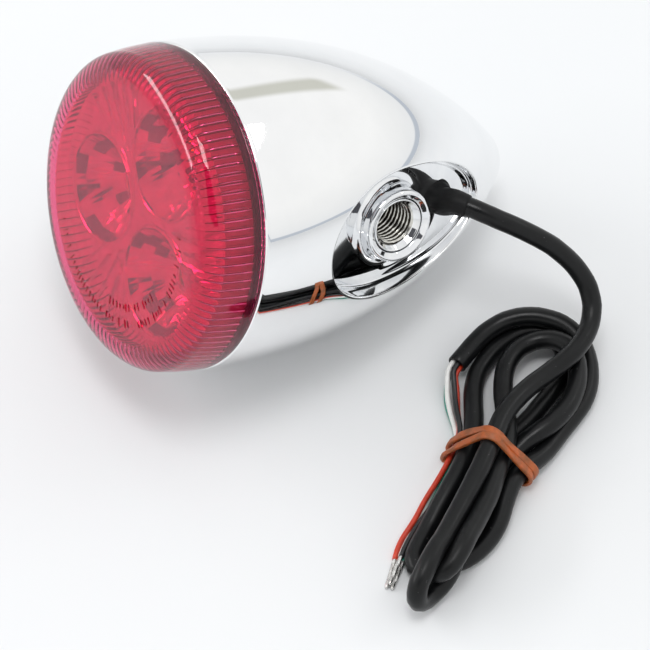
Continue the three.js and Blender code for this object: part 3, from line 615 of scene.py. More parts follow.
def make_winding(offset, side, wander):
    """One winding, which wanders along the hank and twists a little; side is -1 or 1."""
    loop = loop_round(crossings(offset), BAND_GAP, BAND_POINTS)
    mid = loop.mean(0)
    tang = np.roll(loop, -1, 0) - np.roll(loop, 1, 0)
    tang /= np.linalg.norm(tang, axis=1, keepdims=True)
    phase = np.arctan2(loop[:, 1] - mid[1], loop[:, 0] - mid[0])
    shift = offset + wander * np.sin(phase * 2 + side) + 0.35 * side * np.cos(phase)
    twist = 0.30 * np.sin(phase * 2 + 0.7 * side) + 0.14 * np.sin(phase * 5)
    lift = 0.10 + 0.10 * side * np.cos(phase - 1.0)
    w, h = BAND_HALF_WIDTH, BAND_HALF_THICKNESS
    section = rounded([(-w, -h), (w, -h), (w, h), (-w, h)], 0.4, 4)
    pts = []
    for k in range(BAND_POINTS):
        p = HANK + ACROSS * loop[k, 0] + UP * loop[k, 1]
        n = ACROSS * tang[k, 1] - UP * tang[k, 0]
        c, s = math.cos(twist[k]), math.sin(twist[k])
        for a, b in section:
            pts.append(p + ALONG * (shift[k] + a * c - b * s) + n * (lift[k] + a * s + b * c))
    pts = np.array(pts)
    pts[:, 2] = np.maximum(pts[:, 2], BAND_FLOOR_GAP)
    cols = len(section)
    last = (BAND_POINTS - 1) * cols
    return pts, grid_faces(BAND_POINTS, cols, True) + strip(range(last, last + cols), range(cols))


windings = [make_winding(-0.95, -1, 0.30), make_winding(1.0, 1, 0.38)]
add_piece("rubber_band_windings", join_parts(windings), BAND, "band_rubber", "rubber_band")


# ---------- housing
RIM_RADIUS = 36.5
LAND_RADIUS = 31.6  # the seat behind the rim
WALL = 2.6
SHELL_LENGTH = 92.7
INNER_LENGTH = 84.7
NOSE_START = 86.0  # from here on the nose is a ball
SLOPE_END = 91.0  # no slope is taken past this, where the nose turns in
EDGE = 0.5  # radius of the rim's edge
MOUNT_X = 42.0  # the threaded hole's place along the axis
FLOOR_H = 22.5  # the recess's floor at the hole, from the light's axis
SLOPE = 0.2  # the floor falls towards the nose
POCKET_X = -3.5
POCKET_S = -0.6
POCKET_TO_NOSE = 32.0
POCKET_TO_RIM = 22.0
POCKET_HALF_WIDTH = 14.6
LIP = 0.75  # radius of the recess's edge
FILLET = 0.9  # between its walls and its floor
DOME = 0.75  # rise of its floor on the nose side, where it mirrors the cable
TURRET_R = 8.55
TURRET_FOOT = 2.6
TURRET_EDGE_H = 26.9  # where its rounded edge starts
TURRET_EDGE_WIDTH = 0.8
TURRET_EDGE_RISE = 1.1
TURRET_TOP_R = 7.75
TURRET_LIP = [(7.62, 27.98), (7.52, 27.93), (7.40, 27.85), (7.0, 27.55), (6.65, 27.29), (6.56, 27.2), (6.50, 27.1),
              (6.48, 27.0)]  # (radius, height)
SOCKET_R = 6.48
SOCKET_HEIGHTS = (26.0, 24.0, 20.0, 16.0, 14.0)
RIM_STEPS = [(0.0, 35.9), (0.0, 34.0), (0.0, 31.75), (0.15, LAND_RADIUS), (3.0, LAND_RADIUS), (3.6, 33.2)]
INNER_TIP = 84.0
UNDER_X = 38.6  # the recess as the inner wall goes round it
UNDER_TO_NOSE = 34.0
UNDER_TO_RIM = 24.5
UNDER_HALF_WIDTH = 17.4
FLOOR_THICKNESS = 2.65
BOSS_R = 9.6  # round the threaded hole, on the inside
BOSS_H = 11.8
FACING = 0.2  # cosine of the widest angle at which the recess pushes the inner wall in
PATCH_FROM, PATCH_TO = 9.0, 79.0  # the part of the shell that is cut to fit the recess
PATCH_HALF_ANGLE = math.radians(40)
PATCH_SCALE = 33.0  # millimetres for one radian
PATCH_CLEARANCE = 0.55  # from the recess's edge to the nearest grid point
RECESS_SIDES = 220
CHROME_SLOT, POCKET_SLOT, INNER_SLOT = 0, 1, 2


def ogive(x, length=SHELL_LENGTH, rim=RIM_RADIUS):
    return rim * (1 - np.clip(np.asarray(x, float) / length, 0, 1) ** 2.4) ** 0.9


NOSE_LEAN = math.atan(-(ogive(NOSE_START) - ogive(NOSE_START - 0.01)) / 0.01)
NOSE_R = float(ogive(NOSE_START)) / math.cos(NOSE_LEAN)
NOSE_CENTRE = NOSE_START - NOSE_R * math.sin(NOSE_LEAN)


def shell_radius(x):
    x = np.asarray(x, float)
    nose = np.sqrt(np.clip(NOSE_R**2 - (x - NOSE_CENTRE) ** 2, 0, None))
    edge = RIM_RADIUS - EDGE + np.sqrt(np.clip(EDGE**2 - (EDGE - np.clip(x, 0, EDGE)) ** 2, 0, None))
    return np.where(x < EDGE, edge, np.where(x > NOSE_START, nose, ogive(x)))


def shell_normal(x, phi):
    e = 1e-3
    d = (shell_radius(np.minimum(x + e, SLOPE_END)) - shell_radius(np.maximum(x - e, 0.0))) / (2 * e)
    radial = np.cos(phi)[..., None] * OUT + np.sin(phi)[..., None] * SIDE
    n = radial - d[..., None] * AXIS
    return n / np.linalg.norm(n, axis=-1, keepdims=True)


def pocket(t, grow, rise):
    """Points in the mount's frame: the recess's outline at parameter t, grown, at height rise above its floor."""
    X = POCKET_X + (np.where(np.cos(t) > 0, POCKET_TO_NOSE, POCKET_TO_RIM) + grow) * np.cos(t)
    Y = POCKET_S + (POCKET_HALF_WIDTH + grow) * np.sin(t)
    c, s = math.cos(math.atan(SLOPE)), math.sin(math.atan(SLOPE))
    return MOUNT_X + X * c + rise * s, Y, FLOOR_H - X * s + rise * c


def rise_to_shell(t, grow):
    """How far the recess's wall goes up from its floor before it meets the shell."""
    lo, hi = np.zeros_like(t), np.full_like(t, 40.0)
    for _ in range(50):
        mid = (lo + hi) / 2
        x, s, h = pocket(t, grow, mid)
        inside = h * h + s * s < shell_radius(x) ** 2
        lo, hi = np.where(inside, mid, lo), np.where(inside, hi, mid)
    return lo


def floor_h(x):
    return FLOOR_H - SLOPE * (x - MOUNT_X)


def ring_normals(rings):
    """Normals of a stack of closed rings of points, by finite differences."""
    n = np.cross(np.roll(rings, -1, 1) - np.roll(rings, 1, 1), np.gradient(rings, axis=0))
    return n / np.maximum(np.linalg.norm(n, axis=-1, keepdims=True), 1e-9)


def inner_radius(x, phi):
    """The hidden inner wall: an ogive one wall in, pushed in under the recess and under the boss."""
    r = np.maximum(ogive(x, INNER_LENGTH, RIM_RADIUS - WALL), 0.02)
    c = np.cos(phi)
    s = r * np.sin(phi)
    facing = c > FACING  # only on the recess's side
    c = np.maximum(c, FACING)
    along = (x - UNDER_X) / np.where(x > UNDER_X, UNDER_TO_NOSE, UNDER_TO_RIM)
    under_recess = facing & (along**2 + ((s - POCKET_S) / UNDER_HALF_WIDTH) ** 2 < 1)
    r = np.where(under_recess, np.minimum(r, (floor_h(x) - FLOOR_THICKNESS) / c), r)
    boss = facing & ((x - MOUNT_X) ** 2 + (r * np.sin(phi)) ** 2 < BOSS_R**2)
    return np.where(boss, np.minimum(r, BOSS_H / c), r)


def winds_round(loop, q):
    """Whether a closed 2-D loop goes round the point q."""
    a = loop - q
    b = np.roll(a, -1, 0)
    return abs(np.arctan2(a[:, 0] * b[:, 1] - a[:, 1] * b[:, 0], (a * b).sum(1)).sum()) > 3


def even_outline():
    """The recess outline's parameters, spaced evenly round the long egg."""
    t = circle(RECESS_SIDES)
    x, s, _ = pocket(t, 0, 0)
    seg = np.hypot(np.diff(np.r_[x, x[0]]), np.diff(np.r_[s, s[0]]))
    acc = np.r_[0, np.cumsum(seg)]
    return np.interp(np.linspace(0, acc[-1], RECESS_SIDES, endpoint=False), acc, np.r_[t, FULL_TURN])


def recess_rings(t, edge_ring):
    """Rings of points from the recess's edge down its walls, over its floor, up the turret and into the socket, and
    how many of them belong to the rounded edge."""
    rings = []

    def steps(count):
        return np.linspace(0, 1, count)[1:]

    def turret(r, h):
        return mount(MOUNT_X + r * np.cos(ang), r * np.sin(ang), h + 0 * ang)
    rise = rise_to_shell(t, 0.0)
    drop = np.minimum(LIP * 1.05, rise * 0.3)
    corner, below = mount(*pocket(t, 0.0, rise)), mount(*pocket(t, 0.0, rise - drop))
    rings += [bend(edge_ring, corner, below, a) for a in steps(9)]
    edge_count = len(rings)
    low = np.minimum(FILLET, rise * 0.5)
    rings += [mount(*pocket(t, 0.0, (rise - drop) * (1 - a) + low * a)) for a in steps(7)]
    wall, corner = mount(*pocket(t, 0.0, low)), mount(*pocket(t, 0.0, 0 * t))
    rings += [bend(wall, corner, mount(*pocket(t, -FILLET, 0 * t)), a) for a in steps(7)]
    fx, fs, _ = pocket(t, -FILLET, 0 * t)
    ang = np.arctan2(fs, fx - MOUNT_X)
    base_r = TURRET_R + TURRET_FOOT
    for a in steps(17):
        x = fx * (1 - a) + (MOUNT_X + base_r * np.cos(ang)) * a
        s = fs * (1 - a) + base_r * np.sin(ang) * a
        dome = DOME * np.sin(math.pi * a) * np.clip(np.cos(ang), 0, 1) ** 0.7
        rings.append(mount(x, s, floor_h(x) + dome))
    foot_h = floor_h(MOUNT_X + base_r * np.cos(ang))
    side_h = floor_h(MOUNT_X + TURRET_R * np.cos(ang))
    for a in steps(13):
        rings.append(turret(bend(base_r, TURRET_R, TURRET_R, a), bend(foot_h, side_h, side_h + TURRET_FOOT, a)))
    rings += [turret(TURRET_R, (side_h + TURRET_FOOT) * (1 - a) + TURRET_EDGE_H * a) for a in steps(5)]
    for a in np.linspace(0, math.pi / 2, 10)[1:]:
        r = TURRET_TOP_R + TURRET_EDGE_WIDTH * math.cos(a)
        rings.append(turret(r, TURRET_EDGE_H + TURRET_EDGE_RISE * math.sin(a)))
    rings += [turret(r, h) for r, h in TURRET_LIP] + [turret(SOCKET_R, h) for h in SOCKET_HEIGHTS]
    return rings, edge_count


def patch_faces(x_all, phi_all, i0, i1, inner_cols, loop, ring_start):
    """Faces between the shell's grid, from row i0 to row i1, and the loop of the recess's edge."""
    cols = len(phi_all)
    grid = [(i0, j) for j in range(inner_cols)] + [(i, inner_cols - 1) for i in range(i0 + 1, i1 + 1)]
    grid += [(i1, j) for j in range(inner_cols - 2, -1, -1)] + [(i, 0) for i in range(i1 - 1, i0, -1)]
    n, m = len(grid), len(loop)
    edges = [(k, (k + 1) % n) for k in range(n)] + [(n + k, n + (k + 1) % m) for k in range(m)]

    def flat(i, j):
        return np.array([x_all[i], phi_all[j] * PATCH_SCALE])
    verts = [Vector(flat(i, j)) for i, j in grid] + [Vector(q) for q in loop]
    owner = [i * cols + j for i, j in grid] + [ring_start + k for k in range(m)]
    for i in range(i0 + 1, i1):
        for j in range(1, inner_cols - 1):
            q = flat(i, j)
            if np.hypot(*(loop - q).T).min() >= PATCH_CLEARANCE and not winds_round(loop, q):
                owner.append(i * cols + j)
                verts.append(Vector(q))
    found, _, triangles, origin = delaunay_2d_cdt(verts, edges, [], 0, 1e-6, True)[:4]
    faces = []
    for f in triangles:
        middle = sum((np.array(found[v]) for v in f), np.zeros(2)) / len(f)
        if not winds_round(loop, middle):
            faces.append(tuple(owner[origin[v][0]] for v in f))
    return faces


def make_housing():
    # the shell as a grid of rows along the axis and columns round it, finer at the recess
    x_patch = np.linspace(PATCH_FROM, PATCH_TO, 78)
    x_front = np.r_[0.0, 0.04, 0.15, 0.32, 0.5, np.linspace(1.2, PATCH_FROM, 9)]
    nose_ang = np.linspace(NOSE_LEAN, math.pi / 2, 14)[1:]
    x_back = np.r_[np.linspace(PATCH_TO, NOSE_START, 9), NOSE_CENTRE + NOSE_R * np.sin(nose_ang)]
    x_all = np.r_[x_front[:-1], x_patch, x_back[1:]]
    x_all[-1] = NOSE_CENTRE + NOSE_R
    phi_in = np.linspace(-PATCH_HALF_ANGLE, PATCH_HALF_ANGLE, 61)
    phi_out = np.linspace(PATCH_HALF_ANGLE, FULL_TURN - PATCH_HALF_ANGLE, 150)[1:-1]
    phi_all = np.r_[phi_in, phi_out]
    cols = len(phi_all)
    X, PHI = np.meshgrid(x_all, phi_all, indexing="ij")
    shell_n = shell_normal(X, PHI)
    shell_n[-1] = AXIS
    points = list(turn_from_mount(X, shell_radius(X), PHI).reshape(-1, 3))
    normals = list(shell_n.reshape(-1, 3))
    i0 = len(x_front) - 1
    i1 = i0 + len(x_patch) - 1
    faces = []
    for n, f in enumerate(grid_faces(len(x_all), cols, True)):
        i, j = divmod(n, cols)
        if not (i0 <= i < i1 and j < len(phi_in) - 1):
            faces.append(f)

    # the patch round the recess, cut to fit its edge
    t = even_outline()
    ex, es, eh = pocket(t, LIP, rise_to_shell(t, LIP))
    ephi = np.arctan2(es, eh)
    edge_ring = mount(ex, es, eh)
    ring_start = len(points)
    points += list(edge_ring)
    normals += list(shell_normal(ex, ephi))
    faces += patch_faces(x_all, phi_all, i0, i1, len(phi_in), np.stack([ex, ephi * PATCH_SCALE], 1), ring_start)
    slots = [CHROME_SLOT] * len(faces)

    # the recess, the turret and its socket, with a closed bottom
    rings, edge_count = recess_rings(t, edge_ring)
    stack = np.array([edge_ring] + rings)
    start = len(points)
    points += list(stack[1:].reshape(-1, 3))
    normals += list(ring_normals(stack)[1:].reshape(-1, 3))
    ids = [range(s, s + RECESS_SIDES) for s in [ring_start] + [start + k * RECESS_SIDES for k in range(len(rings))]]
    for k, (a, b) in enumerate(zip(ids[:-1], ids[1:])):
        faces += strip(a, b)
        slots += [POCKET_SLOT if k >= edge_count else CHROME_SLOT] * RECESS_SIDES
    faces += fan(len(points), ids[-1][0], RECESS_SIDES)
    slots += [POCKET_SLOT] * RECESS_SIDES
    points.append(mount(MOUNT_X, 0.0, SOCKET_HEIGHTS[-1]))
    normals.append(OUT)

    # the rim's flat face, the step behind it, and the hidden inner wall
    inner = [(np.full(cols, x), np.full(cols, r)) for x, r in RIM_STEPS]
    for x in np.r_[np.linspace(5.0, 72.0, 60), np.linspace(73, 83.6, 8)]:
        inner.append((np.full(cols, x), inner_radius(np.full(cols, x), phi_all)))
    before = range(cols)
    for x, r in inner:
        ring = range(len(points), len(points) + cols)
        points += list(turn_from_mount(x, r, phi_all))
        faces += strip(before, ring)
        before = ring
    faces += fan(len(points), before[0], cols)
    points.append(RIM + INNER_TIP * AXIS)
    slots += [INNER_SLOT] * (len(faces) - len(slots))
    normals += [np.zeros(3)] * (len(points) - len(normals))

    # merge the nose's last ring into one point, and drop the grid points that the recess removed
    nose_first, nose_end = (len(x_all) - 1) * cols, len(x_all) * cols
    used = np.zeros(len(points), bool)
    kept_faces, kept_slots = [], []
    for f, slot in zip(faces, slots):
        f = [nose_first if nose_first <= v < nose_end else v for v in f]
        f = [v for q, v in enumerate(f) if v != f[q - 1]]
        if len(f) > 2:
            kept_faces.append(f)
            kept_slots.append(slot)
            used[f] = True
    index = np.cumsum(used) - 1
    kept_faces = [[index[v] for v in f] for f in kept_faces]
    obj = add_piece("housing_shell", (np.array(points)[used], kept_faces), [CHROME, CHROME_POCKET, INNER_METAL],
                    "chrome_shell", "housing", face_mats=kept_slots)
    # the exact normals where they are known, turned to the side that the faces look to
    exact = np.array(normals)[used]
    auto = np.array([v.normal[:] for v in obj.data.vertices])
    known = np.linalg.norm(exact, axis=1) > 0.5
    side = np.where((auto * exact).sum(1) < 0, -1, 1)
    exact = np.where(known[:, None], exact * side[:, None], auto)
    obj.data.normals_split_custom_set_from_vertices(exact.tolist())


make_housing()


# ---------- threaded insert and strain relief
INSERT_SIDES = 96
INSERT_OUTSIDE = [(14.25, 5.9), (14.6, 6.3), (26.6, 6.3), (27.05, 6.22), (27.2, 6.05), (27.15, 5.9), (26.95, 5.78),
                  (26.3, 5.2), (25.98, 4.94)]  # (height, radius), up the outside and down the bright chamfer
THREAD_TOP, THREAD_END = 25.75, 15.7
THREAD_PITCH = 1.25
THREAD_ROWS = 170
THREAD_CREST_R = 4.42
THREAD_MOUTH_R = 4.9
THREAD_DEPTH = 0.62
THREAD_FLAT = 0.14  # share of half the pitch that the crest takes
THREAD_FLANK = 0.74  # and its flank
THREAD_ROUNDING = 0.35
THREAD_LEAD_IN = 0.5
CREST_PAINTED_HIGHLIGHT_SHARE = 0.40  # of the thread's flanks that gets the crests' painted highlight
CHAMFER_SLOT, VALLEY_PAINTED_SHADE_SLOT, CREST_PAINTED_HIGHLIGHT_SLOT = 0, 1, 2


def make_insert():
    ang = circle(INSERT_SIDES)
    rows = [(np.full(INSERT_SIDES, h), np.full(INSERT_SIDES, r)) for h, r in INSERT_OUTSIDE]
    heights = np.linspace(THREAD_TOP, THREAD_END, THREAD_ROWS)
    for h in heights:
        flank = np.abs(2 * (((h / THREAD_PITCH) - ang / FULL_TURN) % 1.0) - 1)
        flank = np.clip((flank - THREAD_FLAT) / THREAD_FLANK, 0, 1)
        flank = flank * flank * (3 - 2 * flank) * THREAD_ROUNDING + flank * (1 - THREAD_ROUNDING)
        fade = min(1.0, (THREAD_TOP - h) / THREAD_LEAD_IN + 0.25)
        r = THREAD_MOUTH_R * (1 - fade) + (THREAD_CREST_R + THREAD_DEPTH * flank) * fade
        rows.append((np.full(INSERT_SIDES, h), r))
    pts = np.concatenate([mount(MOUNT_X + r * np.cos(ang), r * np.sin(ang), h) for h, r in rows])
    faces = grid_faces(len(rows), INSERT_SIDES, True)
    slots = []
    for i in range(len(faces)):
        row, col = divmod(i, INSERT_SIDES)
        in_thread = row - len(INSERT_OUTSIDE) + 1
        if in_thread < 0:
            slots.append(CHAMFER_SLOT)
            continue
        # faces near the crests get the painted highlight, the others the painted shade
        turned = (heights[min(in_thread, THREAD_ROWS - 1)] / THREAD_PITCH - (col + 0.5) / INSERT_SIDES) % 1.0
        slots.append(CREST_PAINTED_HIGHLIGHT_SLOT if abs(2 * turned - 1) < CREST_PAINTED_HIGHLIGHT_SHARE else VALLEY_PAINTED_SHADE_SLOT)
    faces += fan(len(pts), (len(rows) - 1) * INSERT_SIDES, INSERT_SIDES, turned=True)
    faces += fan(len(pts) + 1, 0, INSERT_SIDES)
    slots += [VALLEY_PAINTED_SHADE_SLOT] * (2 * INSERT_SIDES)
    pts = np.vstack([pts, mount(MOUNT_X, 0.0, THREAD_END - 0.6), mount(MOUNT_X, 0.0, INSERT_OUTSIDE[0][0])])
    add_piece("threaded_insert_m10", (pts, faces), [CHAMFER, THREAD_PAINTED_SHADE, CREST_PAINTED_HIGHLIGHT], "insert_steel", "threaded_insert",
              face_mats=slots)


RELIEF_FOOT = (57.5, 2.0)  # along the axis and sideways
RELIEF_HEIGHTS = np.array([16.0, 18.4, 20.4, 21.8])
RELIEF_RADII = [(0, 3.6), (2.6, 3.6), (2.9, 4.3), (3.8, 4.3), (4.3, 3.85), (6.0, 3.45), (9.0, 3.05), (12.4, 2.66),
                (12.9, 2.6), (13.2, 2.48), (13.25, 2.3)]  # (distance from the foot, radius)


def make_strain_relief():
    """A tapered sleeve: it rises from the recess's floor, leans over with the cable and ends in a soft lip."""
    foot = mount(*RELIEF_FOOT, RELIEF_HEIGHTS)
    along = spline(np.vstack([foot, cable_path[0], cable_path[2:7:2]]), 0.35)
    at = np.linspace(0, RELIEF_RADII[-1][0], 110)
    path = sample(along, length_steps(along), at)
    for _ in range(30):
        path[1:-1] = path[1:-1] * 0.5 + (path[:-2] + path[2:]) * 0.25
    radius = np.interp(at, *zip(*RELIEF_RADII))
    add_piece("strain_relief", tube(path, radius, 36), RUBBER, "black_rubber", "cable_grommet")


make_insert()
make_strain_relief()


# ---------- lens
LENS_FRONT = -14.0  # along the axis, from the rim
LENS_INSIDE = -11.8
FLUTES = 112
SIDES_PER_FLUTE = 8
PAINTED_SHADE_GROOVE_DEPTH = 0.3  # a groove at least this deep gets a strip of painted shade
LENS_SIDE = [(-0.3, 34.1), (-0.3, 36.15), (-0.4, 36.3), (-0.6, 36.34), (-1.0, 36.32), (-2.0, 36.25), (-3.4, 36.13),
             (-5.0, 35.97), (-6.6, 35.78), (-8.0, 35.56)]  # (along the axis, radius)
LENS_INNER_SIDE = [(-7.0, 33.4), (-5.4, 33.6), (-3.6, 33.8), (-1.9, 33.95)]
LENS_SEAT = (-1.6, 34.1)
FACE_RADII = (7.0, 14.0, 20.0, 24.0)
OUTER_CORNER = {"flat": 28.5, "side": 35.34, "front": LENS_FRONT, "depth": 5.0, "steps": 16}
INNER_CORNER = {"flat": 27.9, "side": 33.3, "front": LENS_INSIDE, "depth": 3.8, "steps": 11}
FLUTE_START = 0.12  # depth at the top of the inner corner
FLUTE_GROWTH = 0.05  # from point to point down the corner
FLUTE_DEPTH = 0.75  # on the inner side


def lens_corner(flat, side, front, depth, steps):
    """A quarter of an ellipse, from the lens's side to its flat front."""
    return [(front + depth - depth * math.sin(q), flat + (side - flat) * math.cos(q))
            for q in np.linspace(0, math.pi / 2, steps)]


def make_lens():
    outer = LENS_SIDE + lens_corner(**OUTER_CORNER)
    outer += [(LENS_FRONT, r) for r in (27.0, *FACE_RADII[::-1], 0)]
    inner = [(LENS_INSIDE, r) for r in (0, *FACE_RADII, 25.4, 26.0, 26.7, 27.4)]
    # the flutes are inside: they grow deeper over the inner corner and run down the inner side
    depths = {}
    for k, point in enumerate(lens_corner(**INNER_CORNER)[::-1]):
        depths[len(outer) + len(inner)] = FLUTE_START + FLUTE_GROWTH * k
        inner.append(point)
    for point in LENS_INNER_SIDE:
        depths[len(outer) + len(inner)] = FLUTE_DEPTH
        inner.append(point)
    profile = outer + inner + [LENS_SEAT]
    sides = FLUTES * SIDES_PER_FLUTE
    rib = np.abs(np.sin(circle(sides) * FLUTES / 2)) ** 0.7  # convex ribs with thin grooves between them
    points, faces = revolve(profile, turn, sides, wave=lambda k: -(rib * depths.get(k, 0.0)))
    slots = []
    for k in range(len(profile)):
        # one strip of faces in each deep groove gets the painted shade
        dark = depths.get(k, 0.0) >= PAINTED_SHADE_GROOVE_DEPTH
        if k != len(outer) - 1:  # no faces between the two points on the axis
            slots += [int(dark and j % SIDES_PER_FLUTE == 0) for j in range(sides)]
    add_piece("lens_fluted", (points, faces), [LENS, LENS_GROOVE_PAINTED_SHADE], "red_lens", "lens", face_mats=slots)


BOX_FACES = [(0, 1, 2, 3), (7, 6, 5, 4), (0, 4, 5, 1), (1, 5, 6, 2), (2, 6, 7, 3), (3, 7, 4, 0)]
BOX_CORNERS = ((-0.5, -0.5), (-0.5, 0.5), (0.5, 0.5), (0.5, -0.5))
TICK_ARCS = ((150, 222, 24.2), (232, 318, 24.2), (200, 252, 20.4))  # (from and to in degrees, radius)


def make_marks():
    """Where the real lens has raised lettering, plain raised ticks on arcs, which spell nothing."""
    rng = np.random.default_rng(7)
    parts = []
    for start, stop, radius in TICK_ARCS:
        a = math.radians(start)
        while a < math.radians(stop):
            wide = rng.uniform(0.25, 0.5)
            tall = rng.choice([1.1, 1.7, 1.7, 2.2])
            box = []
            for height, shrink in ((0.0, 1.0), (0.22, 0.7)):
                for dr, da in BOX_CORNERS:
                    box.append(turn(LENS_FRONT - height + 0.02, radius + tall * dr * shrink,
                                    a + wide * da * shrink / radius))
            parts.append((np.array(box), BOX_FACES))
            a += (wide + rng.choice([0.7, 1.0, 1.0, 2.2])) / radius
    add_piece("lens_raised_ticks", join_parts(parts), LENS_MARK, "red_lens", smooth=False)


make_lens()
make_marks()


# ---------- gasket, reflector, light sources
GASKET_OUTLINE = [(-1.25, 31.9), (-1.25, 33.95), (-0.1, 33.95), (-0.1, 31.9)]  # (along the axis, radius)


def make_gasket():
    profile = rounded(GASKET_OUTLINE, 0.35, 3)
    add_piece("gasket_ring", revolve(profile, turn, 240), GASKET, "black_rubber", "lens_gasket")


ORBIT = 15.8  # from the light's axis to each bowl's
BOWL_ANGLES = [math.radians(a) for a in (98, -22, -142)]
BOWLS = [(ORBIT * math.cos(a), ORBIT * math.sin(a)) for a in BOWL_ANGLES]
BOWL_R = 12.9
BOWL_SIDES = 56
BOWL_RIM = [(0, 12.9), (-0.45, 12.7), (-0.6, 12.4), (-0.4, 12.1), (0.1, 11.95)]  # (from the plate, radius)
FACETS = 14
PLATE = -7.0  # the reflector's flat face
PLATE_R = 31.0
FACET_BELTS = [(PLATE + 1.9, 10.6), (PLATE + 4.2, 8.6), (PLATE + 6.3, 6.6), (1.2, 4.6)]  # (along the axis, radius)
THROAT = [(1.2, 3.6), (3.0, 3.5)]
RIB_ANGLES = (-0.30, -0.15, 0.0, 0.15, 0.30)  # from the middle between two bowls, in radians
RIB_END_R = 29.6
PAINTED_DARK_FACETS = 0.2  # the share of facets painted dark, a painted dark reflection
MIRROR_SLOT, SKIRT_SLOT, PAINTED_DARK_SLOT = 0, 1, 2


def place_at(centre):
    """A place function about a bowl's own axis."""
    return lambda x, r, angle: swing(x, r, angle, LEVEL, RAISED, centre)


def reflector_plate():
    """The flat face with three round holes."""
    verts, edges = [], []
    for (cy, cz), r, n in [((0, 0), PLATE_R, 120)] + [(centre, BOWL_R, BOWL_SIDES) for centre in BOWLS]:
        s = len(verts)
        turns = [FULL_TURN * k / n for k in range(n)]
        verts += [Vector((cy + r * math.cos(a), cz + r * math.sin(a))) for a in turns]
        edges += [(s + k, s + (k + 1) % n) for k in range(n)]
    found, _, triangles = delaunay_2d_cdt(verts, edges, [], 0, 1e-6, True)[:3]
    faces = []
    for f in triangles:
        c = sum((np.array(found[v]) for v in f), np.zeros(2)) / len(f)
        if np.hypot(*c) <= PLATE_R and all(np.hypot(c[0] - cy, c[1] - cz) >= BOWL_R - 0.02 for cy, cz in BOWLS):
            faces.append(tuple(f))
    return np.array([RIM + PLATE * AXIS + v[0] * LEVEL + v[1] * RAISED for v in found]), faces


def bowl(centre):
    """A raised rim, then facets in belts, then the plain throat."""
    place = place_at(centre)
    angle = circle(BOWL_SIDES)

    def ring(x, r):
        return place(np.full(BOWL_SIDES, x), r, angle)
    rings = [ring(PLATE + x, r) for x, r in BOWL_RIM]
    for belt, (x, r) in enumerate(FACET_BELTS):
        # the points are pulled onto the chords between the facets' corners
        shift = (belt % 2) * math.pi / FACETS
        off = ((angle + shift) % (FULL_TURN / FACETS)) - math.pi / FACETS
        rings.append(ring(x, r * math.cos(math.pi / FACETS) / np.cos(off)))
    rings += [ring(x, r) for x, r in THROAT]
    return np.concatenate(rings), grid_faces(len(rings), BOWL_SIDES, True)


def bowl_slots(rng):
    """Mirror for the bowl's faces, with some of its facets painted darker, a painted dark reflection."""
    painted_dark_facets = rng.random((len(FACET_BELTS), FACETS)) < PAINTED_DARK_FACETS
    slots = []
    for row in range(len(BOWL_RIM) + len(FACET_BELTS) + len(THROAT) - 1):
        belt = row - len(BOWL_RIM) + 1
        for col in range(BOWL_SIDES):
            facet = int(((col + 0.5) / BOWL_SIDES + (belt % 2) / (2 * FACETS)) * FACETS) % FACETS
            in_painted_dark = 0 <= belt < len(FACET_BELTS) and painted_dark_facets[belt, facet]
            slots.append(PAINTED_DARK_SLOT if in_painted_dark else MIRROR_SLOT)
    return slots


def rib(angle, start_r):
    """A low rib on the plate, from start_r outwards."""
    box = []
    for x, half in ((PLATE + 0.05, 0.35), (PLATE - 0.7, 0.12)):
        for r, side in ((start_r, -1), (RIB_END_R, -1), (RIB_END_R, 1), (start_r, 1)):
            box.append(turn(x, r, angle + side * half / r))
    return np.array(box), BOX_FACES


def make_reflector():
    rng = np.random.default_rng(11)
    plate = reflector_plate()
    skirt = revolve([(PLATE, PLATE_R), (PLATE + 1, PLATE_R), (3.0, PLATE_R)], turn, 120, closed=False)
    ribs = [rib(a + math.pi / 3 + off, 18.5 if off else 13.5) for a in BOWL_ANGLES for off in RIB_ANGLES]
    points, faces = join_parts([plate, skirt] + [bowl(centre) for centre in BOWLS] + ribs)
    slots = [MIRROR_SLOT] * len(plate[1]) + [SKIRT_SLOT] * len(skirt[1])
    for _ in BOWLS:
        slots += bowl_slots(rng)
    slots += [MIRROR_SLOT] * (len(faces) - len(slots))
    add_piece("reflector_faceted", (points, faces), [MIRROR, SKIRT, MIRROR_PAINTED_DARK], "mirror_plastic", "reflector",
              weld=0.02 * MM, face_mats=slots, smooth=False)


DOME_FOOT = 1.8  # along the axis, from the rim
DOME_BASE = 0.15  # height of its straight base
DOME_RISE = 1.6
DOME_R = 1.7
DIE = [(1.78, 0), (1.78, 1.1), (1.62, 1.25), (1.5, 1.0), (1.42, 0.85), (1.42, 0)]  # on its bevelled carrier


def make_light_source(index, centre):
    profile = [(DOME_FOOT, 0), (DOME_FOOT, DOME_R - 0.05), (DOME_FOOT - 0.12, DOME_R)]
    for q in np.linspace(0.05, 1.45, 9):
        profile.append((DOME_FOOT - DOME_BASE - DOME_RISE * math.sin(q), DOME_R * math.cos(q)))
    profile.append((DOME_FOOT - DOME_BASE - DOME_RISE, 0))
    dome = revolve(profile, place_at(centre), 32, closed=False)
    add_piece("led_lens_%d" % index, dome, SILICONE, "led_silicone", "led_dome_%d" % index)
    # the die shows the painted glow of its material
    die = revolve(DIE, place_at(centre), 8, closed=False)
    add_piece("led_die_%d" % index, die, AMBER_PAINTED_GLOW, "led_silicone", smooth=False)


make_gasket()
make_reflector()
for number, centre in enumerate(BOWLS, 1):
    make_light_source(number, centre)


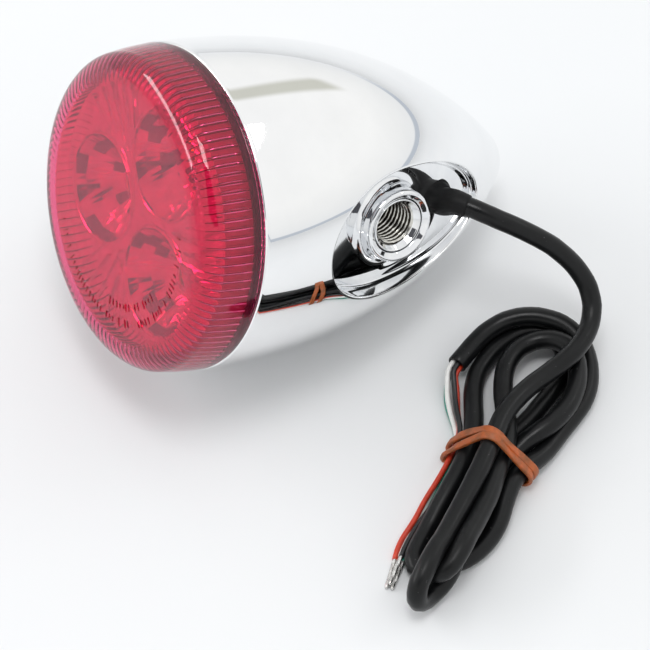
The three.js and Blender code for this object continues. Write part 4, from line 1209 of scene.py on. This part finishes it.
# ---------- floor, world and lights
FLOOR_HALF = 1500
FLOOR_POINTS = 24
SKY = [
    (0.0, (0.50, 0.54, 0.58)), (0.36, (0.70, 0.73, 0.76)), (0.47, (0.90, 0.92, 0.94)), (0.5, (0.88, 0.89, 0.895)),
    (0.54, (0.93, 0.935, 0.93)), (0.62, (1.0, 1.0, 0.99)), (0.75, (1.0, 1.0, 0.995)), (1.0, (0.97, 0.975, 0.98)),
]  # from straight down to straight up
LIGHTS = [
    ("softbox_top", (-100, -150, 900), (0.25, 0.3), 1.9),
    ("softbox_back", (-644, 486, 467), (0.8, 0.14), 2.6),
    ("softbox_right", (671, -87, 599), (0.28, 0.05), 0.3),
]  # (name, place in millimetres, size in metres, watts)
LIGHTS_AIM = (0, -20, 30)
GAP_AZIMUTH, GAP_SHADE = 29, (0.66, 0.66, 0.60)
SHEET_EDGE_SHADE = (0.60, 0.64, 0.70)
FLAG_AZIMUTH, FLAG_SHADE = -128.7, (0.10, 0.10, 0.11)


def make_floor():
    m, nt, b, co = new_material("floor_paper")
    paper = ramp(nt, noise(nt, co, 6.0), [(0.3, (0.75, 0.765, 0.78)), (0.7, (0.77, 0.78, 0.79))])
    feed(nt, b, {"Base Color": paper, "Roughness": 0.8, "Specular IOR Level": 0.2})
    X, Y = np.meshgrid(*[np.linspace(-FLOOR_HALF, FLOOR_HALF, FLOOR_POINTS)] * 2)
    pts = np.stack([X, Y, 0 * X], -1).reshape(-1, 3)
    floor = add_mesh("floor", pts, grid_faces(FLOOR_POINTS, FLOOR_POINTS, False), m)


def make_world():
    world = bpy.data.worlds.new("studio")
    bpy.context.scene.world = world
    world.use_nodes = True
    wn = world.node_tree
    direction = add_node(wn, "TexCoord", "Generated", {})
    x, y, height = (add_node(wn, "SeparateXYZ", axis, {0: direction}) for axis in "XYZ")

    def math_node(op, a, b):
        return add_node(wn, "Math", 0, {0: a, 1: b}, operation=op)

    def both(*factors):
        product = factors[0]
        for f in factors[1:]:
            product = math_node("MULTIPLY", product, f)
        return product

    def rises(value, a, b):
        return remap(wn, value, 0.0, 1.0, a, b, "SMOOTHSTEP")

    def falls(value, a, b):
        return remap(wn, value, 1.0, 0.0, a, b, "SMOOTHSTEP")

    def near_azimuth(degrees, inner, outer):
        off = math_node("ABSOLUTE", math_node("SUBTRACT", azimuth, math.radians(degrees)), 0)
        return falls(off, math.radians(inner), math.radians(outer))
    azimuth = math_node("ARCTAN2", y, x)
    col = ramp(wn, remap(wn, height, 0.0, 1.0, -1.0, 1.0), SKY)
    # a narrow grey gap between two softboxes, behind the light on its right
    gap = both(near_azimuth(GAP_AZIMUTH, 2.0, 6.0), rises(height, 0.17, 0.24), falls(height, 0.52, 0.66))
    col = mix_in(wn, gap, col, GAP_SHADE, "MULTIPLY")
    # the edge of the paper sheet, to the right of the light
    edge = both(rises(height, -0.046, -0.036), falls(height, -0.012, -0.002))
    right = both(rises(azimuth, math.radians(-75), math.radians(-60)),
                 falls(azimuth, math.radians(22), math.radians(42)))
    col = mix_in(wn, both(edge, right), col, SHEET_EDGE_SHADE, "MULTIPLY")
    # a black flag over the photographer's place, which the recess reflects
    flag = both(near_azimuth(FLAG_AZIMUTH, 23.5, 25.0), rises(height, 0.535, 0.56), falls(height, 0.925, 0.94))
    col = mix_in(wn, flag, col, FLAG_SHADE, "MULTIPLY")
    feed(wn, wn.nodes["Background"], {"Color": col, "Strength": 1.0})


def make_light(name, place, size, watts):
    data = bpy.data.lights.new(name, "AREA")
    data.shape = "RECTANGLE"
    data.size, data.size_y = size
    data.energy = watts
    obj = link(name, data)
    obj.location = Vector(place) * MM
    obj.rotation_euler = (Vector(LIGHTS_AIM) * MM - obj.location).to_track_quat("-Z", "Y").to_euler()


make_floor()
make_world()
for light in LIGHTS:
    make_light(*light)
scene = bpy.context.scene
scene.view_settings.view_transform = "Standard"
scene.view_settings.look = "None"
